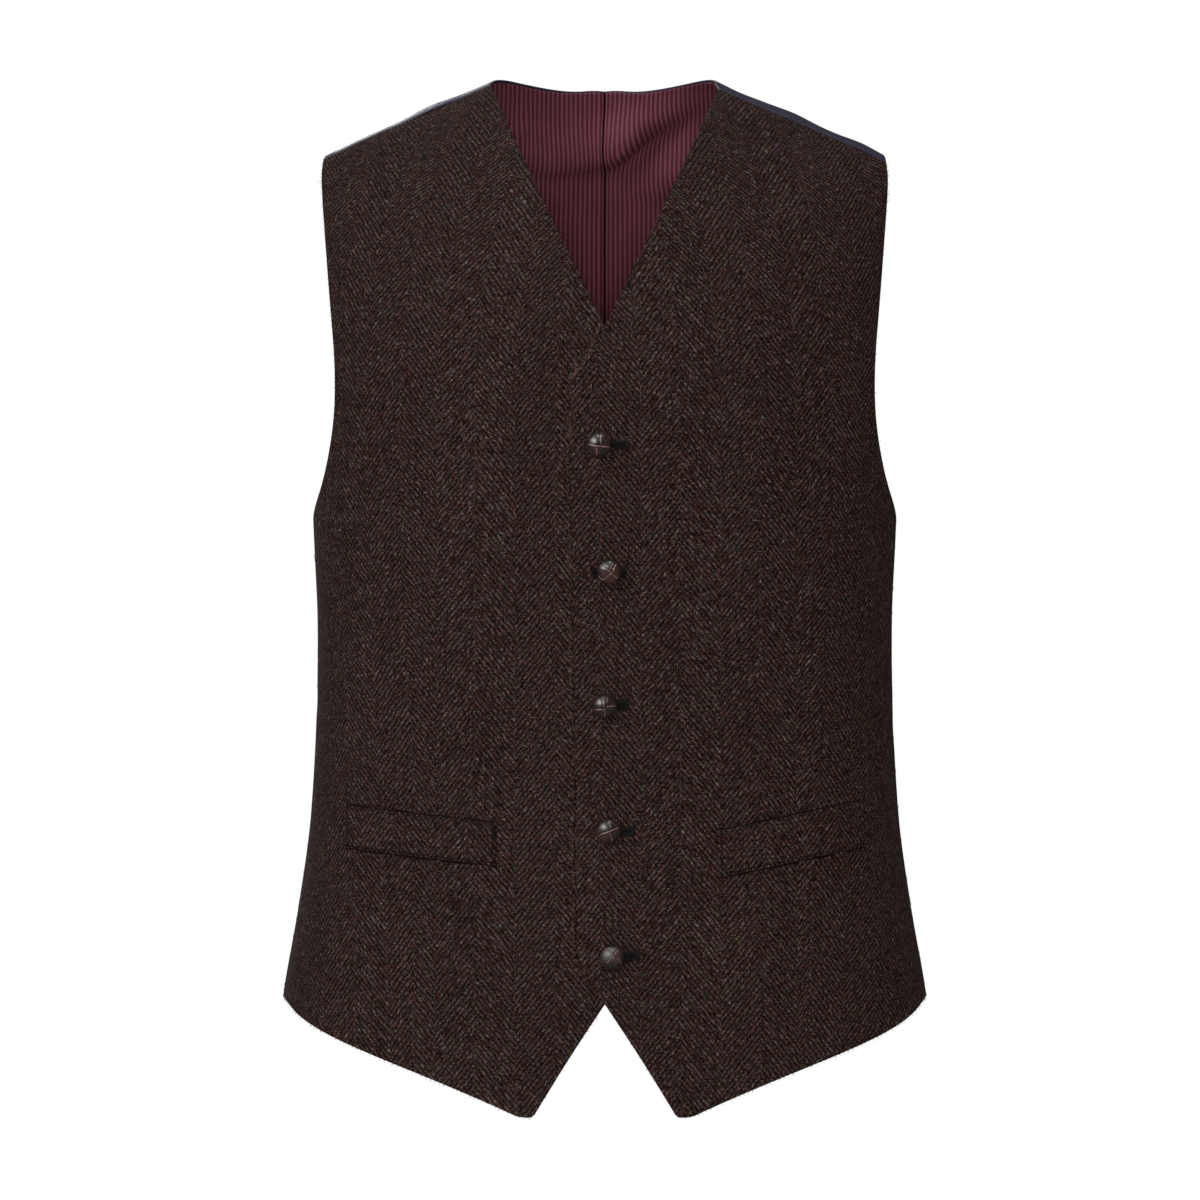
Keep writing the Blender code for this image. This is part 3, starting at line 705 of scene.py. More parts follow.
def shell(name, side, grid, outside, thickness, materials, laps=False, turn_from=0.0, zones=None,
          surface=folded):
    """Thin closed shell of cloth, whose edges are rounded, with its lengths of cloth as a map."""
    turn, rise = grid[..., 0], grid[..., 1]
    cloth_map = np.stack([girth(turn, rise, turn_from), height(turn, rise)], axis=-1)
    turn = side * turn
    base = surface(turn, rise)
    outward = normals(surface, turn, rise)
    lift = outside - thickness / 2 + (lap(base[..., 0]) if laps else 0.0)
    round_way = lengths(base, 1)
    up_way = lengths(base, 0)
    inward = np.minimum(np.minimum(round_way, round_way[:, -1:] - round_way),
                        np.minimum(up_way, up_way[-1:] - up_way))
    fullness = np.sqrt(1 - (1 - np.clip(inward / EDGE_ROUNDING, 0, 1)) ** 2)
    half = (thickness / 2 * fullness)[..., None]
    middle = base + outward * np.asarray(lift)[..., None]
    rows, columns = turn.shape
    number = np.arange(rows * columns).reshape(rows, columns)
    behind = number.copy()
    behind[1:-1, 1:-1] = rows * columns + np.arange((rows - 2) * (columns - 2)).reshape(rows - 2, -1)
    outer = (middle + outward * half).reshape(-1, 3)
    inner = (middle - outward * half)[1:-1, 1:-1].reshape(-1, 3)
    faces = np.concatenate([cells(number, side == RIGHT), cells(behind, side == LEFT)])
    made = add_mesh(name, np.concatenate([outer, inner]), faces.tolist(), materials)
    add_map(made, "cloth", np.concatenate([cloth_map.reshape(-1, 2), cloth_map[1:-1, 1:-1].reshape(-1, 2)]))
    upward = np.broadcast_to(up_way.mean(axis=1)[:, None] / up_way[-1].mean(), turn.shape)
    places = np.stack([round_way / round_way[:, -1:], upward], axis=-1).reshape(-1, 2)
    add_bake_map(made, (cells(number, side == RIGHT), cells(number, side == LEFT)), places)
    if zones is not None:
        inside = zones(cloth_map)[:-1, :-1].ravel()
        indices = np.concatenate([np.zeros(inside.size, np.int32), inside.astype(np.int32)])
        made.data.polygons.foreach_set("material_index", indices)
    return made


# Materials

class Value:
    """Output of a shader node. Sums with it add Math nodes."""

    def __init__(self, socket):
        self.socket = socket
        self.tree = socket.id_data

    def __add__(self, other):
        return maths("ADD", self, other)

    def __sub__(self, other):
        return maths("SUBTRACT", self, other)

    def __rsub__(self, other):
        return maths("SUBTRACT", other, self)

    def __mul__(self, other):
        return maths("MULTIPLY", self, other)

    def __truediv__(self, other):
        return maths("DIVIDE", self, other)


def put(socket, value):
    """Link an output to an input socket or set a plain value there, a colour as three parts."""
    if isinstance(value, Value):
        value.tree.links.new(value.socket, socket)
    else:
        socket.default_value = (*value, 1.0) if socket.type == "RGBA" else value


def node(tree, kind, inputs=(), output=0, **settings):
    """An output of a new node with its settings, and values or links for some of its inputs."""
    made = tree.nodes.new(kind)
    for name, value in settings.items():
        setattr(made, name, value)
    for name, value in dict(inputs).items():
        put(made.inputs[name], value)
    return Value(made.outputs[output])


def maths(operation, *values):
    """Result of a Math node."""
    tree = next(value.tree for value in values if isinstance(value, Value))
    return node(tree, "ShaderNodeMath", dict(enumerate(values)), operation=operation)


def mixed(share, first, second):
    """Colour between two others."""
    return node(share.tree, "ShaderNodeMix", {0: share, 6: first, 7: second}, 2, data_type="RGBA")


def scaled(colour, tone):
    """Colour times a value."""
    return node(tone.tree, "ShaderNodeVectorMath", {0: colour, 3: tone}, operation="SCALE")


def ramp(value, stops):
    """Colour of a ColorRamp with stops of place and colour."""
    made = node(value.tree, "ShaderNodeValToRGB", {0: value})
    elements = made.socket.node.color_ramp.elements
    while len(elements) < len(stops):
        elements.new(0.5)
    for element, (at, colour) in zip(elements, stops):
        element.position = at
        element.color = (*colour, 1.0)
    return made


def linear(red, green, blue):
    """Linear colour of an sRGB one given as 0 to 255."""
    values = [value / 255 for value in (red, green, blue)]
    return tuple(v / 12.92 if v < 0.04045 else ((v + 0.055) / 1.055) ** 2.4 for v in values)


# Browns of the yarns, and the tints of soft patches
BROWNS = (
    (0.05, linear(28, 13, 9)),
    (0.30, linear(43, 28, 24)),
    (0.50, linear(56, 42, 39)),
    (0.66, linear(70, 57, 54)),
    (0.82, linear(87, 76, 73)),
    (1.00, linear(119, 111, 109)),
)
RUST_TINTS = ((0.28, (0.89, 1.11, 1.07)), (0.72, (1.11, 0.89, 0.93)))
OCHRE_TINTS = ((0.28, (1.00, 0.99, 1.20)), (0.72, (1.00, 1.01, 0.80)))


def vector(*values):
    """Vector of two or three values."""
    return node(values[0].tree, "ShaderNodeCombineXYZ", dict(enumerate(values)))


def noise(at, scale, detail=2.0):
    """Noise value about 0.5."""
    return node(at.tree, "ShaderNodeTexNoise", {"Vector": at, "Scale": scale, "Detail": detail})


def wave(at, length):
    """Sine of a place, with this wavelength."""
    return maths("SINE", at * (2 * math.pi / length))


def spread(value, low, high, bottom=0.0, top=1.0):
    """Value between two limits, spread from bottom to top."""
    return node(value.tree, "ShaderNodeMapRange", {0: value, 1: low, 2: high, 3: bottom, 4: top})


def bumped(height_there, distance, strength, **under):
    """Normal of a surface with a fine relief, over another normal if one is given."""
    inputs = {"Height": height_there, "Distance": distance, "Strength": strength, **under}
    return node(height_there.tree, "ShaderNodeBump", inputs)


def new_material(name):
    """A material with a Principled shader."""
    made = bpy.data.materials.new(name)
    made.use_nodes = True
    return made


def new_cloth(name):
    """A cloth material, and the two lengths of the cloth map as values."""
    made = new_material(name)
    uv = node(made.node_tree, "ShaderNodeUVMap", uv_map="cloth")
    across = node(uv.tree, "ShaderNodeSeparateXYZ", {0: uv})
    return made, across, Value(across.socket.node.outputs[1])


def settle(material, **values):
    """Values and outputs for the shader's own sockets. Returns the material."""
    shader = material.node_tree.nodes["Principled BSDF"]
    for name, value in values.items():
        put(shader.inputs[name.replace("_", " ")], value)
    return material


def herringbone(name, first_column, dart_at=None, lean=0.0, seed=0.0):
    """Brown woollen herringbone: columns of twill lines, with yarns and fibres of several browns."""
    material, across, up = new_cloth(name)
    here = vector(across, up, seed)
    wide = maths("MAXIMUM", up - LEAN_FROM, 0.0)
    across = across + wide * wide * lean
    if dart_at is not None:
        taken = maths("MAXIMUM", DART_POINT - up, 0.0) * DART_SLOPE
        across = across + maths("GREATER_THAN", across, dart_at) * taken
    # Uneven beat of the loom
    across = across - first_column + noise(here, 120.0, 1.0) * 0.0011
    up = up + noise(here, 170.0, 1.0) * 0.0013
    column_number = maths("FLOOR", across / COLUMN_WIDTH)
    # A yarn's floats stand a little steeper than the twill line
    in_yarn = maths("FRACT", across / YARN_WIDTH)
    zigzag = maths("PINGPONG", across + (0.5 - in_yarn) * (YARN_PULL * YARN_WIDTH), COLUMN_WIDTH)
    phase = up / TWILL_UP + zigzag / TWILL_ACROSS + column_number * 0.5 + noise(here, 330.0, 1.0) * 0.55
    # Raised share of the twill line, and the round of each yarn
    line = maths("POWER", maths("SINE", maths("FRACT", phase) * math.pi), 1.5)
    body = line * (maths("SINE", in_yarn * math.pi) * 0.20 + 0.80)
    # Fibres lie along the twill lines, a few to a line
    slant = math.hypot(TWILL_ACROSS, TWILL_UP)
    along = zigzag * (TWILL_ACROSS / slant) - up * (TWILL_UP / slant)
    own = column_number * 7.3 + seed * 100
    nap = spread(noise(vector(phase * 3.2, along / FIBRE_LENGTH, own), 1.0), 0.30, 0.72)
    # Each line changes its colour every few floats
    strand = vector(maths("FLOOR", phase), along / LOT_LENGTH, own)
    lot = spread(noise(strand, 1.0, 1.0), 0.28, 0.72)
    # Between the twill lines the colour falls to a near-black brown, and each yarn darkens towards its
    # sides: partly the weave's pattern, partly painted shade in its hollows
    colour = mixed(body * 0.88 + 0.12, linear(13, 4, 2), ramp(lot * 0.30 + nap * 0.58 + 0.06, BROWNS))
    # Rust and olive, then slate and ochre, in small soft patches
    elsewhere = node(here.tree, "ShaderNodeVectorMath", {0: here, 1: (3.1, 1.7, 0.9)})
    for at, scale, tints in ((here, 215.0, RUST_TINTS), (elsewhere, 200.0, OCHRE_TINTS)):
        tint = ramp(noise(at, scale, 1.0), tints)
        colour = node(here.tree, "ShaderNodeVectorMath", {0: colour, 1: tint}, operation="MULTIPLY")
    # Loose fibres cross the lines, each column has its own tone, and the cloth is a little cloudy
    loose = spread(noise(here, 1350.0, 0.0), 0.30, 0.70, 0.22, 1.82)
    column_tone = noise(vector(own * 0.8, up * 3.0), 1.0, 0.0) * 0.16 + 0.92
    colour = scaled(colour, (noise(here, 14.0, 1.0) * 0.20 + 0.90) * loose * column_tone)
    flecks = spread(noise(here, 1300.0, 0.0), 0.78, 0.86) * 0.5
    return settle(material, Base_Color=mixed(flecks, colour, linear(104, 92, 84)),
                  Normal=bumped(body + nap * 0.4, 0.00035, 0.6), Roughness=0.92, Specular_IOR_Level=0.08,
                  Sheen_Weight=0.05, Sheen_Roughness=0.5, Sheen_Tint=linear(140, 122, 114))


def striped_lining(name, fold_highlight_share):
    """Burgundy satin with fine stripes woven in, and a pressed seam at the centre back with painted shade
    along it and a painted highlight on its fold.
    """
    material, across, up = new_cloth(name)
    stripe = spread(wave(across, LINING_STRIPE), -0.45, 0.45)
    tone = (wave(up, LINING_THREAD) * 0.05 + 0.97) * (noise(vector(across, up), 70.0) * 0.30 + 0.85)
    away = maths("ABSOLUTE", across)
    colour = mixed(stripe, linear(83, 39, 50), linear(126, 71, 84))
    # Painted highlight on the fold beside the seam, then painted shade along the seam
    colour = mixed(spread(away, 0.0022, 0.0014) * fold_highlight_share, colour, linear(156, 88, 104))
    colour = mixed(spread(away, 0.0012, 0.0006), colour, linear(40, 12, 18))
    return settle(material, Base_Color=scaled(colour, tone), Roughness=stripe * -0.06 + 0.58,
                  Normal=bumped(stripe, 0.00004, 0.5), Specular_IOR_Level=0.16, Sheen_Weight=0.10,
                  Sheen_Roughness=0.35, Sheen_Tint=linear(190, 110, 130))


def navy_satin():
    """Smooth navy satin, its warp just seen, with shallow wear creases."""
    material, across, up = new_cloth("navy_satin")
    warp = wave(across, SATIN_WARP)
    tone = (warp * 0.04 + 0.97) * (noise(vector(across, up), 60.0, 3.0) * 0.30 + 0.85)
    creases = bumped(noise(vector(across, up * 1.8), 26.0), 0.006, 0.20)
    return settle(material, Base_Color=scaled(linear(52, 49, 66), tone),
                  Normal=bumped(warp, 0.00002, 0.4, Normal=creases), Roughness=0.40, Specular_IOR_Level=0.60,
                  Sheen_Weight=0.05, Sheen_Roughness=0.3, Sheen_Tint=linear(150, 145, 185))


def leather(name, colour, worn, red, roughness):
    """Polished leather with a fine grain, paler worn places, reddish ones and duller buttons."""
    material = new_material(name)
    tree = material.node_tree
    here = node(tree, "ShaderNodeTexCoord", output="Object")
    grain = node(tree, "ShaderNodeTexVoronoi", {"Vector": here, "Scale": 2600.0})
    blotch = noise(here, 420.0, 3.0)
    redness = node(tree, "ShaderNodeAttribute", output="Fac", attribute_name="redness")
    dullness = node(tree, "ShaderNodeAttribute", output="Fac", attribute_name="dullness")
    shade = mixed(redness, mixed(spread(blotch, 0.42, 0.72), colour, worn), red)
    return settle(material, Base_Color=shade, Normal=bumped(grain, 0.00005, 0.4),
                  Roughness=blotch * 0.20 + roughness + dullness, Specular_IOR_Level=1.0,
                  Coat_Weight=0.45, Coat_Roughness=0.32)


def plain_thread(name, colour, roughness):
    """Sewing thread or fibre, its colour a little uneven."""
    material = new_material(name)
    here = node(material.node_tree, "ShaderNodeTexCoord", output="Object")
    return settle(material, Base_Color=scaled(colour, noise(here, 700.0) * 0.8 + 0.6), Roughness=roughness,
                  Specular_IOR_Level=0.1)


TWEED_LOOK = {
    side: herringbone("herringbone_" + word, FIRST_COLUMN[side], DART_AT[side], COLUMN_LEAN, side * 0.31)
    for side, word in SIDES}
WELT_LOOK = {
    side: herringbone("herringbone_welt_" + word, FIRST_COLUMN[side] + WELT_OFFSET, seed=side * 0.57)
    for side, word in SIDES}
LINING_LOOK = {
    side: striped_lining("striped_lining_" + word, PAINTED_FOLD_HIGHLIGHT[side])
    for side, word in SIDES}
SATIN_LOOK = navy_satin()
LEATHER_LOOK = leather("dark_leather", linear(30, 23, 20), linear(54, 42, 37), linear(66, 38, 33), 0.24)
STRAP_LOOK = leather(
    "red_brown_leather", linear(110, 75, 70), linear(156, 117, 110), linear(110, 75, 70), 0.30)
THREAD_LOOK = plain_thread("buttonhole_thread", linear(25, 24, 25), 0.7)
# Near-black tubes that paint shadow at the pocket mouths, under the welts and along the lap's edge
PAINTED_SHADOW_LOOK = plain_thread("painted_shadow_tubes", linear(19, 12, 10), 0.9)
PALE_LOOK = plain_thread("pale_fibre", linear(150, 134, 118), 0.8)
BROWN_LOOK = plain_thread("brown_fibre", linear(66, 46, 40), 0.9)
# Pale brown of the fuzz on the left front's edge, a painted highlight of the lit edge
EDGE_HIGHLIGHT_LOOK = plain_thread("edge_fibre", linear(121, 94, 82), 0.9)


# Cloth pieces

def beyond_facing(cloth_map):
    """Which points of a front lie further from its front edge than the facing is wide."""
    return cloth_map[..., 0] - cloth_map[:, :1, 0] > FACING_WIDTH


def make_fronts():
    """The two fronts in herringbone, with a facing and lining as zones of their inner faces."""
    for side, word in SIDES:
        made = shell("front_%s_cloth" % word, side, front_grid(side), 0.0, TWEED_THICKNESS,
                     [TWEED_LOOK[side], LINING_LOOK[side]], laps=side == LEFT, zones=beyond_facing)
        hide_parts("front_" + word)


def make_backs():
    """Satin backs and their striped linings."""
    for side, word in SIDES:
        grid = back_grid(side)
        satin = shell("back_%s_cloth" % word, side, grid, 0.0, SATIN_THICKNESS, [SATIN_LOOK],
                      turn_from=math.pi, surface=folded_satin)
        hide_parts("back_" + word)
        lining = shell("lining_%s_cloth" % word, side, set_back(grid, LINING_SETBACK[side]),
                       -SATIN_THICKNESS - LINING_GAP, LINING_THICKNESS, [LINING_LOOK[side]],
                       turn_from=math.pi, surface=folded_lining)
        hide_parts("lining_" + word)


def make_welts():
    """Pocket welts that lie on the fronts."""
    across = shares_of(WELT_CELLS[0], WELT_SIZE[0])[None]
    up = shares_of(WELT_CELLS[1], WELT_SIZE[1])[:, None]
    for side, word, inner_x, inner_top, inner_bottom, outer_x, outer_top, outer_bottom in WELTS:
        x = inner_x + (outer_x - inner_x) * across
        top = inner_top + (outer_top - inner_top) * across
        bottom = inner_bottom + (outer_bottom - inner_bottom) * across
        grid = np.stack(place(x, bottom + (top - bottom) * up), axis=-1)
        made = shell("welt_%s_cloth" % word, side, grid, WELT_GAP + WELT_THICKNESS, WELT_THICKNESS,
                     [WELT_LOOK[side]], laps=side == LEFT)
        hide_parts("pocket_welt_" + word)


# Buttons and sewing

def closed_rings(ids):
    """Faces between rings of numbered points."""
    return cells(np.concatenate([ids, ids[:, :1]], axis=1)).tolist()


def tube(path, radius, sides=6, flat=1.0, up=(0.0, 0.0, 1.0)):
    """Points and faces of a closed tube along a path."""
    path = np.asarray(path, float)
    ways = unit(np.gradient(path, axis=0))
    side = unit(np.cross(ways, np.broadcast_to(up, path.shape)))
    over = np.cross(side, ways)
    angles = (np.arange(sides) * 2 * math.pi / sides)[:, None]
    rims = np.cos(angles) * side[:, None] + flat * np.sin(angles) * over[:, None]
    points = path[:, None] + np.broadcast_to(radius, len(path))[:, None, None] * rims
    ids = np.arange(len(path) * sides).reshape(-1, sides)
    faces = closed_rings(ids) + [ids[0, ::-1].tolist(), ids[-1].tolist()]
    return points.reshape(-1, 3), faces


def joined(parts):
    """Points and faces of several parts as one mesh."""
    points = []
    faces = []
    count = 0
    for part_points, part_faces in parts:
        points.append(part_points)
        faces.extend([index + count for index in face] for face in part_faces)
        count += len(part_points)
    return np.concatenate(points), faces


def button_frame(x, level):
    """Axes to the right, up and out of the left front's cloth at a place, and the place itself."""
    foot, outward = on_front(LEFT, *place(np.array(x), np.array(level)), 0.0)
    right = unit(np.cross([0, 0, 1], outward))
    return np.array([right, np.cross(outward, right), outward]), foot


def dome(x, y):
    """Height of a button's crown above the cloth."""
    share = np.clip((x * x + y * y) / BUTTON_RADIUS ** 2, 0, 1)
    return BUTTON_STAND + BUTTON_RIM + BUTTON_CROWN * np.sqrt(1 - share)


def distance_to(edge_points, x, y):
    """Signed distance from a run of points, positive on its left."""
    nearest = np.full(x.shape, np.inf)
    signed = np.zeros(x.shape)
    for start, end in zip(edge_points, edge_points[1:]):
        way = end - start
        length = np.linalg.norm(way)
        share = np.clip(((x - start[0]) * way[0] + (y - start[1]) * way[1]) / length ** 2, 0, 1)
        off_x = x - start[0] - share * way[0]
        off_y = y - start[1] - share * way[1]
        distance = np.hypot(off_x, off_y)
        left = way[0] * off_y - way[1] * off_x
        signed = np.where(distance < nearest, np.sign(left) * distance, signed)
        nearest = np.minimum(nearest, distance)
    return signed


def plait(edges, x, y):
    """Height of the plaited leather above a plain dome."""
    raised = np.zeros(x.shape)
    for low_side, _, points in edges:
        off = distance_to(np.array(points) * BUTTON_RADIUS, x, y) * -low_side
        raised += LEATHER_STEP / 2 * np.tanh(off / STEP_WIDTH) * np.exp(-(off / STEP_REACH) ** 2)
        raised -= GROOVE_DEPTH * np.exp(-((off + GROOVE_WIDTH * GROOVE_OFF) / GROOVE_WIDTH) ** 2)
    return raised


def lip(points, share):
    """Rolled edge of a leather strap along a run of points on the dome."""
    radius = LIP_RADIUS * share
    points = np.array(points) * BUTTON_RADIUS
    passed = np.concatenate([[0], np.cumsum(np.linalg.norm(np.diff(points, axis=0), axis=1))])
    at = np.linspace(0, passed[-1], 40)
    x, y = (np.interp(at, passed, points[:, axis]) for axis in (0, 1))
    for run in (x, y):
        run[1:-1] = (run[:-2] + run[1:-1] + run[2:]) / 3
    taper = np.clip(np.minimum(at, passed[-1] - at) / (4 * radius), 0.25, 1)
    return tube(np.stack([x, y, dome(x, y)], axis=-1), radius * taper, 8)


def button_body(edges):
    """Turned body of a button with its plaited crown."""
    crown_foot = BUTTON_STAND + BUTTON_RIM
    rise = QUARTER * np.arange(1, BUTTON_RINGS) / BUTTON_RINGS
    crown = np.stack([BUTTON_RADIUS * np.cos(rise), crown_foot + BUTTON_CROWN * np.sin(rise)], axis=-1)
    base = ((SHANK_RADIUS, 0.0), (SHANK_RADIUS, BUTTON_STAND),
            (BUTTON_RADIUS * BUTTON_BASE_SHARE, BUTTON_STAND),
            (BUTTON_RADIUS * BUTTON_CHAMFER[0], BUTTON_STAND + BUTTON_CHAMFER[1]),
            (BUTTON_RADIUS, crown_foot))
    profile = np.concatenate([base, crown])
    spin = np.arange(BUTTON_SECTORS) * 2 * math.pi / BUTTON_SECTORS
    x = profile[:, :1] * np.cos(spin)
    y = profile[:, :1] * np.sin(spin)
    raised = plait(edges, x, y) * np.clip((profile[:, 1:] - crown_foot) / BUTTON_RIM, 0, 1)
    slant = np.sqrt(np.clip(1 - (profile[:, :1] / BUTTON_RADIUS) ** 2, 0, 1))
    shrink = 1 + raised * (1 - slant) / BUTTON_RADIUS
    points = np.stack([x * shrink, y * shrink, profile[:, 1:] + raised * slant], axis=-1).reshape(-1, 3)
    top = plait(edges, np.zeros(1), np.zeros(1))[0] + crown_foot + BUTTON_CROWN
    ids = np.arange(len(points)).reshape(-1, BUTTON_SECTORS)
    last = np.stack([ids[-1], np.roll(ids[-1], -1), np.full(BUTTON_SECTORS, len(points))], axis=-1)
    faces = closed_rings(ids) + [ids[0, ::-1].tolist()] + last.tolist()
    return np.concatenate([points, [[0.0, 0.0, top]]]), faces


def make_buttons():
    """Domed buttons of plaited leather."""
    for number, ((x, level), edges, places) in enumerate(zip(BUTTONS, STRAP_EDGES, RED_PLACES), start=1):
        axes, foot = button_frame(x, level)
        points, faces = button_body(edges)
        made = add_mesh("button_%d_leather" % number, points @ axes + foot, faces, [LEATHER_LOOK])
        redness = np.zeros(len(points))
        for red_x, red_y, size in places:
            off = np.hypot(points[:, 0] / BUTTON_RADIUS - red_x, points[:, 1] / BUTTON_RADIUS - red_y)
            redness = np.maximum(redness, np.exp(-(off / size) ** 2))
        for name, values in (("redness", redness), ("dullness", np.full(len(points), DULLNESS[number - 1]))):
            made.data.attributes.new(name, "FLOAT", "POINT").data.foreach_set("value", values)
        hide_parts("button_%d" % number)
        points, faces = joined([lip(edge_points, share) for _, share, edge_points in edges])
        add_mesh("button_%d_straps" % number, points @ axes + foot, faces, [STRAP_LOOK])


def stitch(x, y, start_angle, end_angle):
    """A thread that rises off flat cloth and dips into it again."""
    z = STITCH_LIFT + PURL_HEIGHT * np.sin(np.linspace(start_angle, end_angle, len(y)))
    return tube(np.stack([x, y, z], axis=-1), THREAD_RADIUS, 5)


def make_buttonholes():
    """Hand-worked buttonholes: purl stitches on both sides of a slit, and a bar at the outer end."""
    thread_spacing = BAR_PITCH * THREAD_RADIUS
    parts = []
    for (x, level), (start, end, rise, half_height) in zip(BUTTONS, HOLES):
        bar = end - BAR_STITCHES * thread_spacing
        stitches = []
        for along in np.arange(start, bar, STITCH_SPACING):
            for way in (-1, 1):
                shift = seeded.uniform(-STITCH_SHIFT, STITCH_SHIFT, 2)
                reach = half_height * seeded.uniform(*PURL_REACH)
                y = rise + way * np.linspace(SLIT_HALF_HEIGHT, reach, 7)
                stitches.append(stitch(along + shift[0] + np.linspace(0, shift[1], 7), y, 0.5, math.pi))
        for k in range(BAR_STITCHES):
            y = rise + np.linspace(-half_height, half_height, 9) * seeded.uniform(*BAR_REACH)
            stitches.append(stitch(np.full(9, bar + (k + 0.5) * thread_spacing), y, 0.1, math.pi - 0.1))
        slit = np.stack([np.linspace(start, bar, 30), np.full(30, rise), np.full(30, STITCH_LIFT)], axis=-1)
        points, faces = joined(stitches + [tube(slit, SLIT_RADIUS, 6, flat=0.3)])
        axes, foot = button_frame(x, level)
        world = points @ axes + foot
        parts.append((on_front(LEFT, *place(world[:, 0], world[:, 2]), points[:, 2])[0], faces))
    points, faces = joined(parts)
    add_mesh("buttonhole_stitches", points, faces, [THREAD_LOOK])


def lap_shadow_line():
    """Dark line of painted shadow on the right front, where the left front's edge lies on it."""
    grid = front_grid(LEFT)
    rows = np.arange(*(round(share * len(grid)) for share in LAP_SPAN))
    path, _ = on_front(RIGHT, grid[rows, 0, 0] - LAP_SHADOW_SETBACK, grid[rows, 0, 1], LINE_LIFT)
    return tube(path, LAP_SHADOW_RADIUS * (0.85 + 0.30 * np.sin(rows * 0.9) * np.sin(rows * 0.23)))


def make_painted_shadow_lines():
    """Dark lines of painted shadow at each pocket's mouth, under the seam of each welt and beside the lap's
    edge.
    """
    parts = [lap_shadow_line()]
    along = np.linspace(0.0, 1.0, 90)
    for side, _, inner_x, inner_top, inner_bottom, outer_x, outer_top, outer_bottom in WELTS:
        x = side * (inner_x + (outer_x - inner_x) * along)
        for inner, outer, off in ((inner_top, outer_top, SEAM_SHADOW_OFF), (inner_bottom, outer_bottom, -SEAM_SHADOW_OFF)):
            level = inner + (outer - inner) * along + off + SEAM_SHADOW_WAVER * np.sin(along * 23 + side)
            taper = np.sin(math.pi * (0.06 + 0.88 * along)) ** 0.3
            radius = SEAM_SHADOW_RADIUS * (0.85 + 0.25 * np.sin(along * 17 + 2 * side)) * taper
            parts.append(tube(on_front(side, *place(x, level), LINE_LIFT)[0], radius))
    points, faces = joined(parts)
    add_mesh("painted_shadow_lines", points, faces, [PAINTED_SHADOW_LOOK])


def fibres(starts, ways, outs, length_range, radius_range):
    """Tubes of bent fibres that lie along the cloth and rise off it a little."""
    t = np.linspace(0, 1, 5)[:, None]
    lengths_of = seeded.uniform(*length_range, len(starts))
    radii = seeded.uniform(*radius_range, len(starts))
    made = []
    for start, way, out, length, radius in zip(starts, ways, outs, lengths_of, radii):
        bend = np.cross(way, out) * seeded.uniform(-0.5, 0.5)
        rise = out * seeded.uniform(0.05, 0.25)
        path = start + length * (way * t + (bend + rise) * t * (1 - t))
        made.append(tube(path, radius, 3, up=out))
    return made


def on_grid(side, row, column):
    """Places just off a front's cloth at rows and columns of its grid, and the way out of it."""
    at = front_grid(side)[row, column]
    return on_front(side, side * at[..., 0], at[..., 1], FIBRE_LIFT)


def scattered_fibres(side, count, length_range, radius_range):
    """Fibres strewn over a front."""
    rows, columns = front_grid(side).shape[:2]
    spots, outs = on_grid(side, seeded.randint(3, rows - 4, count), seeded.randint(3, columns - 4, count))
    right = unit(np.cross([0.0, 0.0, 1.0], outs))
    angle = seeded.uniform(0, 2 * math.pi, count)[:, None]
    ways = right * np.cos(angle) + np.cross(outs, right) * np.sin(angle)
    spots = spots + ways * seeded.uniform(-0.002, 0.002, count)[:, None]
    return fibres(spots, ways, outs, length_range, radius_range)


def edge_fibres(side, count, length_range, radius_range):
    """Short fibres that stand out over the front edge, hem and armhole of a front."""
    rows, columns = front_grid(side).shape[:2]
    made = []
    for up_the_edge, outer_line, inner_line in ((True, 0, 2), (False, 0, 2), (True, -1, -3)):
        pick = seeded.randint(2, (rows if up_the_edge else columns) - 3, count // 3)
        outer, inner = ((pick, line) if up_the_edge else (line, pick) for line in (outer_line, inner_line))
        spots, outs = on_grid(side, *outer)
        ways = unit(spots - on_grid(side, *inner)[0])
        ways = unit(ways + np.cross(ways, outs) * seeded.uniform(-1.2, 1.2, len(pick))[:, None])
        spots = spots - outs * seeded.uniform(0.0002, 0.0016, len(pick))[:, None] - ways * 0.0004
        made += fibres(spots, ways, outs, length_range, radius_range)
    return made


def lap_highlight_fibres():
    """Pale fuzz along the front edge of the left front, partly a painted highlight of the lit edge, with
    more of it in bunches.
    """
    rows = len(front_grid(LEFT))
    bunches = [seeded.normal(share, spreading, count) for share, spreading, count in LAP_BUNCHES]
    at = np.concatenate([seeded.uniform(*LAP_SPAN, LAP_FIBRES)] + bunches)
    count = len(at)
    width = np.where(np.arange(count) < LAP_FIBRES, LAP_WIDTH, HIGHLIGHT_BUNCH_WIDTH)
    row = np.clip((at * rows).astype(int), 2, rows - 3)
    spots, outs = on_grid(LEFT, row, 0)
    along = unit(on_grid(LEFT, row + 1, 0)[0] - on_grid(LEFT, row - 1, 0)[0])
    spots = spots + along * seeded.uniform(-0.002, 0.002, count)[:, None]
    spots = spots + unit(np.cross(outs, along)) * (width * seeded.uniform(0, 1, count) ** 1.5)[:, None]
    ways = unit(along + seeded.normal(0, 0.55, (count, 3)))
    return fibres(spots, ways, outs, *LAP_SIZES)


def painted_shadow_fibres():
    """Dark fibres on the right front that paint the shadow of the left front's edge."""
    grid = front_grid(LEFT)
    row = (seeded.uniform(*LAP_SPAN, SHADE_FIBRES) * len(grid)).astype(int)
    turn = grid[row, 0, 0] - SHADE_REACH * seeded.uniform(0.1, 1.0, SHADE_FIBRES)
    rise = grid[row, 0, 1]
    along = unit(folded(turn, rise + SLOPE_STEP) - folded(turn, rise))
    ways = unit(along + seeded.normal(0, 0.35, (SHADE_FIBRES, 3)))
    spots, outs = on_front(RIGHT, turn, rise, SHADE_LIFT)
    return fibres(spots, ways, outs, *SHADE_SIZES)


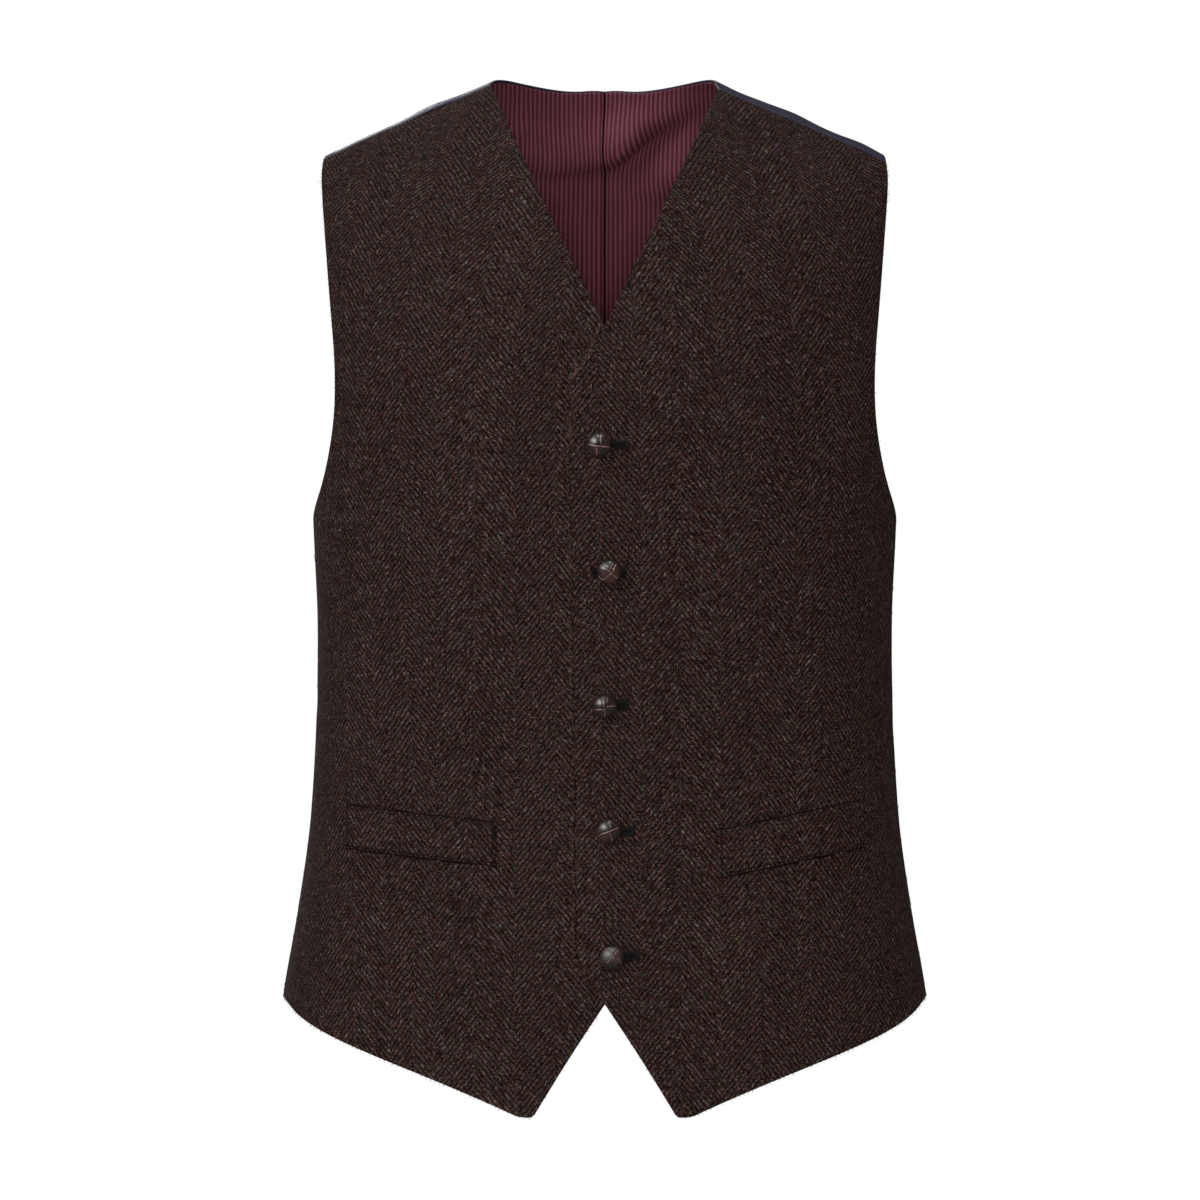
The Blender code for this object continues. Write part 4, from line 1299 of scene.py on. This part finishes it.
def make_fibres():
    """Wool fibres on the fronts: faint ones, a few bright ones, fuzz along the edges, pale fuzz that paints
    a highlight on the left front's edge, and dark fibres that paint its shadow on the right front.
    """
    pale = []
    brown = []
    for side, _ in SIDES:
        pale += scattered_fibres(side, *FAINT_FIBRES)
        pale += scattered_fibres(side, *BRIGHT_FIBRES)
        brown += scattered_fibres(side, *BROWN_FIBRES)
        brown += edge_fibres(side, *EDGE_FIBRES)
    for name, parts, look in (("pale_fibres", pale, PALE_LOOK), ("brown_fibres", brown, BROWN_LOOK),
                              ("lap_highlight_fibres", lap_highlight_fibres(), EDGE_HIGHLIGHT_LOOK),
                              ("painted_shadow_fibres", painted_shadow_fibres(), PAINTED_SHADOW_LOOK)):
        points, faces = joined(parts)
        add_mesh(name, points, faces, [look])


# Stage, light and camera

def make_stage():
    """Pale floor far below, as under a standing wearer."""
    angles = np.arange(FLOOR_SIDES) * 2 * math.pi / FLOOR_SIDES
    points = np.stack([np.cos(angles), np.sin(angles), np.zeros(FLOOR_SIDES)], axis=-1) * FLOOR_RADIUS
    points[:, 2] = FLOOR_LEVEL
    mesh = bpy.data.meshes.new("floor")
    mesh.from_pydata(points.tolist(), [], [tuple(range(FLOOR_SIDES))])
    mesh.materials.append(settle(new_material("pale_floor"), Base_Color=(0.86, 0.86, 0.86), Roughness=0.9))
    floor = linked("floor", mesh)
    floor.visible_glossy = False


def make_lights():
    """Soft light boxes that look at the middle of the garment."""
    for name, at, width, height_of, power, unseen_by in LIGHTS:
        light = bpy.data.lights.new(name, "AREA")
        light.shape = "RECTANGLE"
        light.size = width
        light.size_y = height_of
        light.energy = power
        made = linked(name, light)
        made.location = at
        made.rotation_euler = (Vector(MIDDLE) - Vector(at)).to_track_quat("-Z", "Y").to_euler()
        if unseen_by is not None:
            setattr(made, "visible_" + unseen_by, False)


def make_room():
    """White room that lights a little, and is dark in reflections."""
    world = bpy.data.worlds.new("studio")
    world.use_nodes = True
    tree = world.node_tree
    path = node(tree, "ShaderNodeLightPath").socket.node
    seen, mirrored = (Value(path.outputs[name]) for name in ("Is Camera Ray", "Is Glossy Ray"))
    background = tree.nodes["Background"]
    put(background.inputs["Color"], (1.0, 1.0, 1.0))
    strength = seen * (1.0 - ROOM_LIGHT) + mirrored * (ROOM_GLOSS - ROOM_LIGHT) + ROOM_LIGHT
    put(background.inputs["Strength"], strength)
    bpy.context.scene.world = world
    bpy.context.scene.view_settings.view_transform = "Standard"


def make_camera():
    """Level camera far in front, as the garment was photographed."""
    lens = bpy.data.cameras.new("camera")
    lens.sensor_width = 36.0
    lens.lens = CAMERA_LENS
    lens.clip_end = 100.0
    camera = linked("camera", lens)
    camera.location = CAMERA_AT
    camera.rotation_euler = (QUARTER, 0.0, 0.0)
    bpy.context.scene.camera = camera


make_fronts()
make_backs()
make_welts()
make_buttons()
make_buttonholes()
make_painted_shadow_lines()
make_fibres()
make_stage()
make_lights()
make_room()
make_camera()
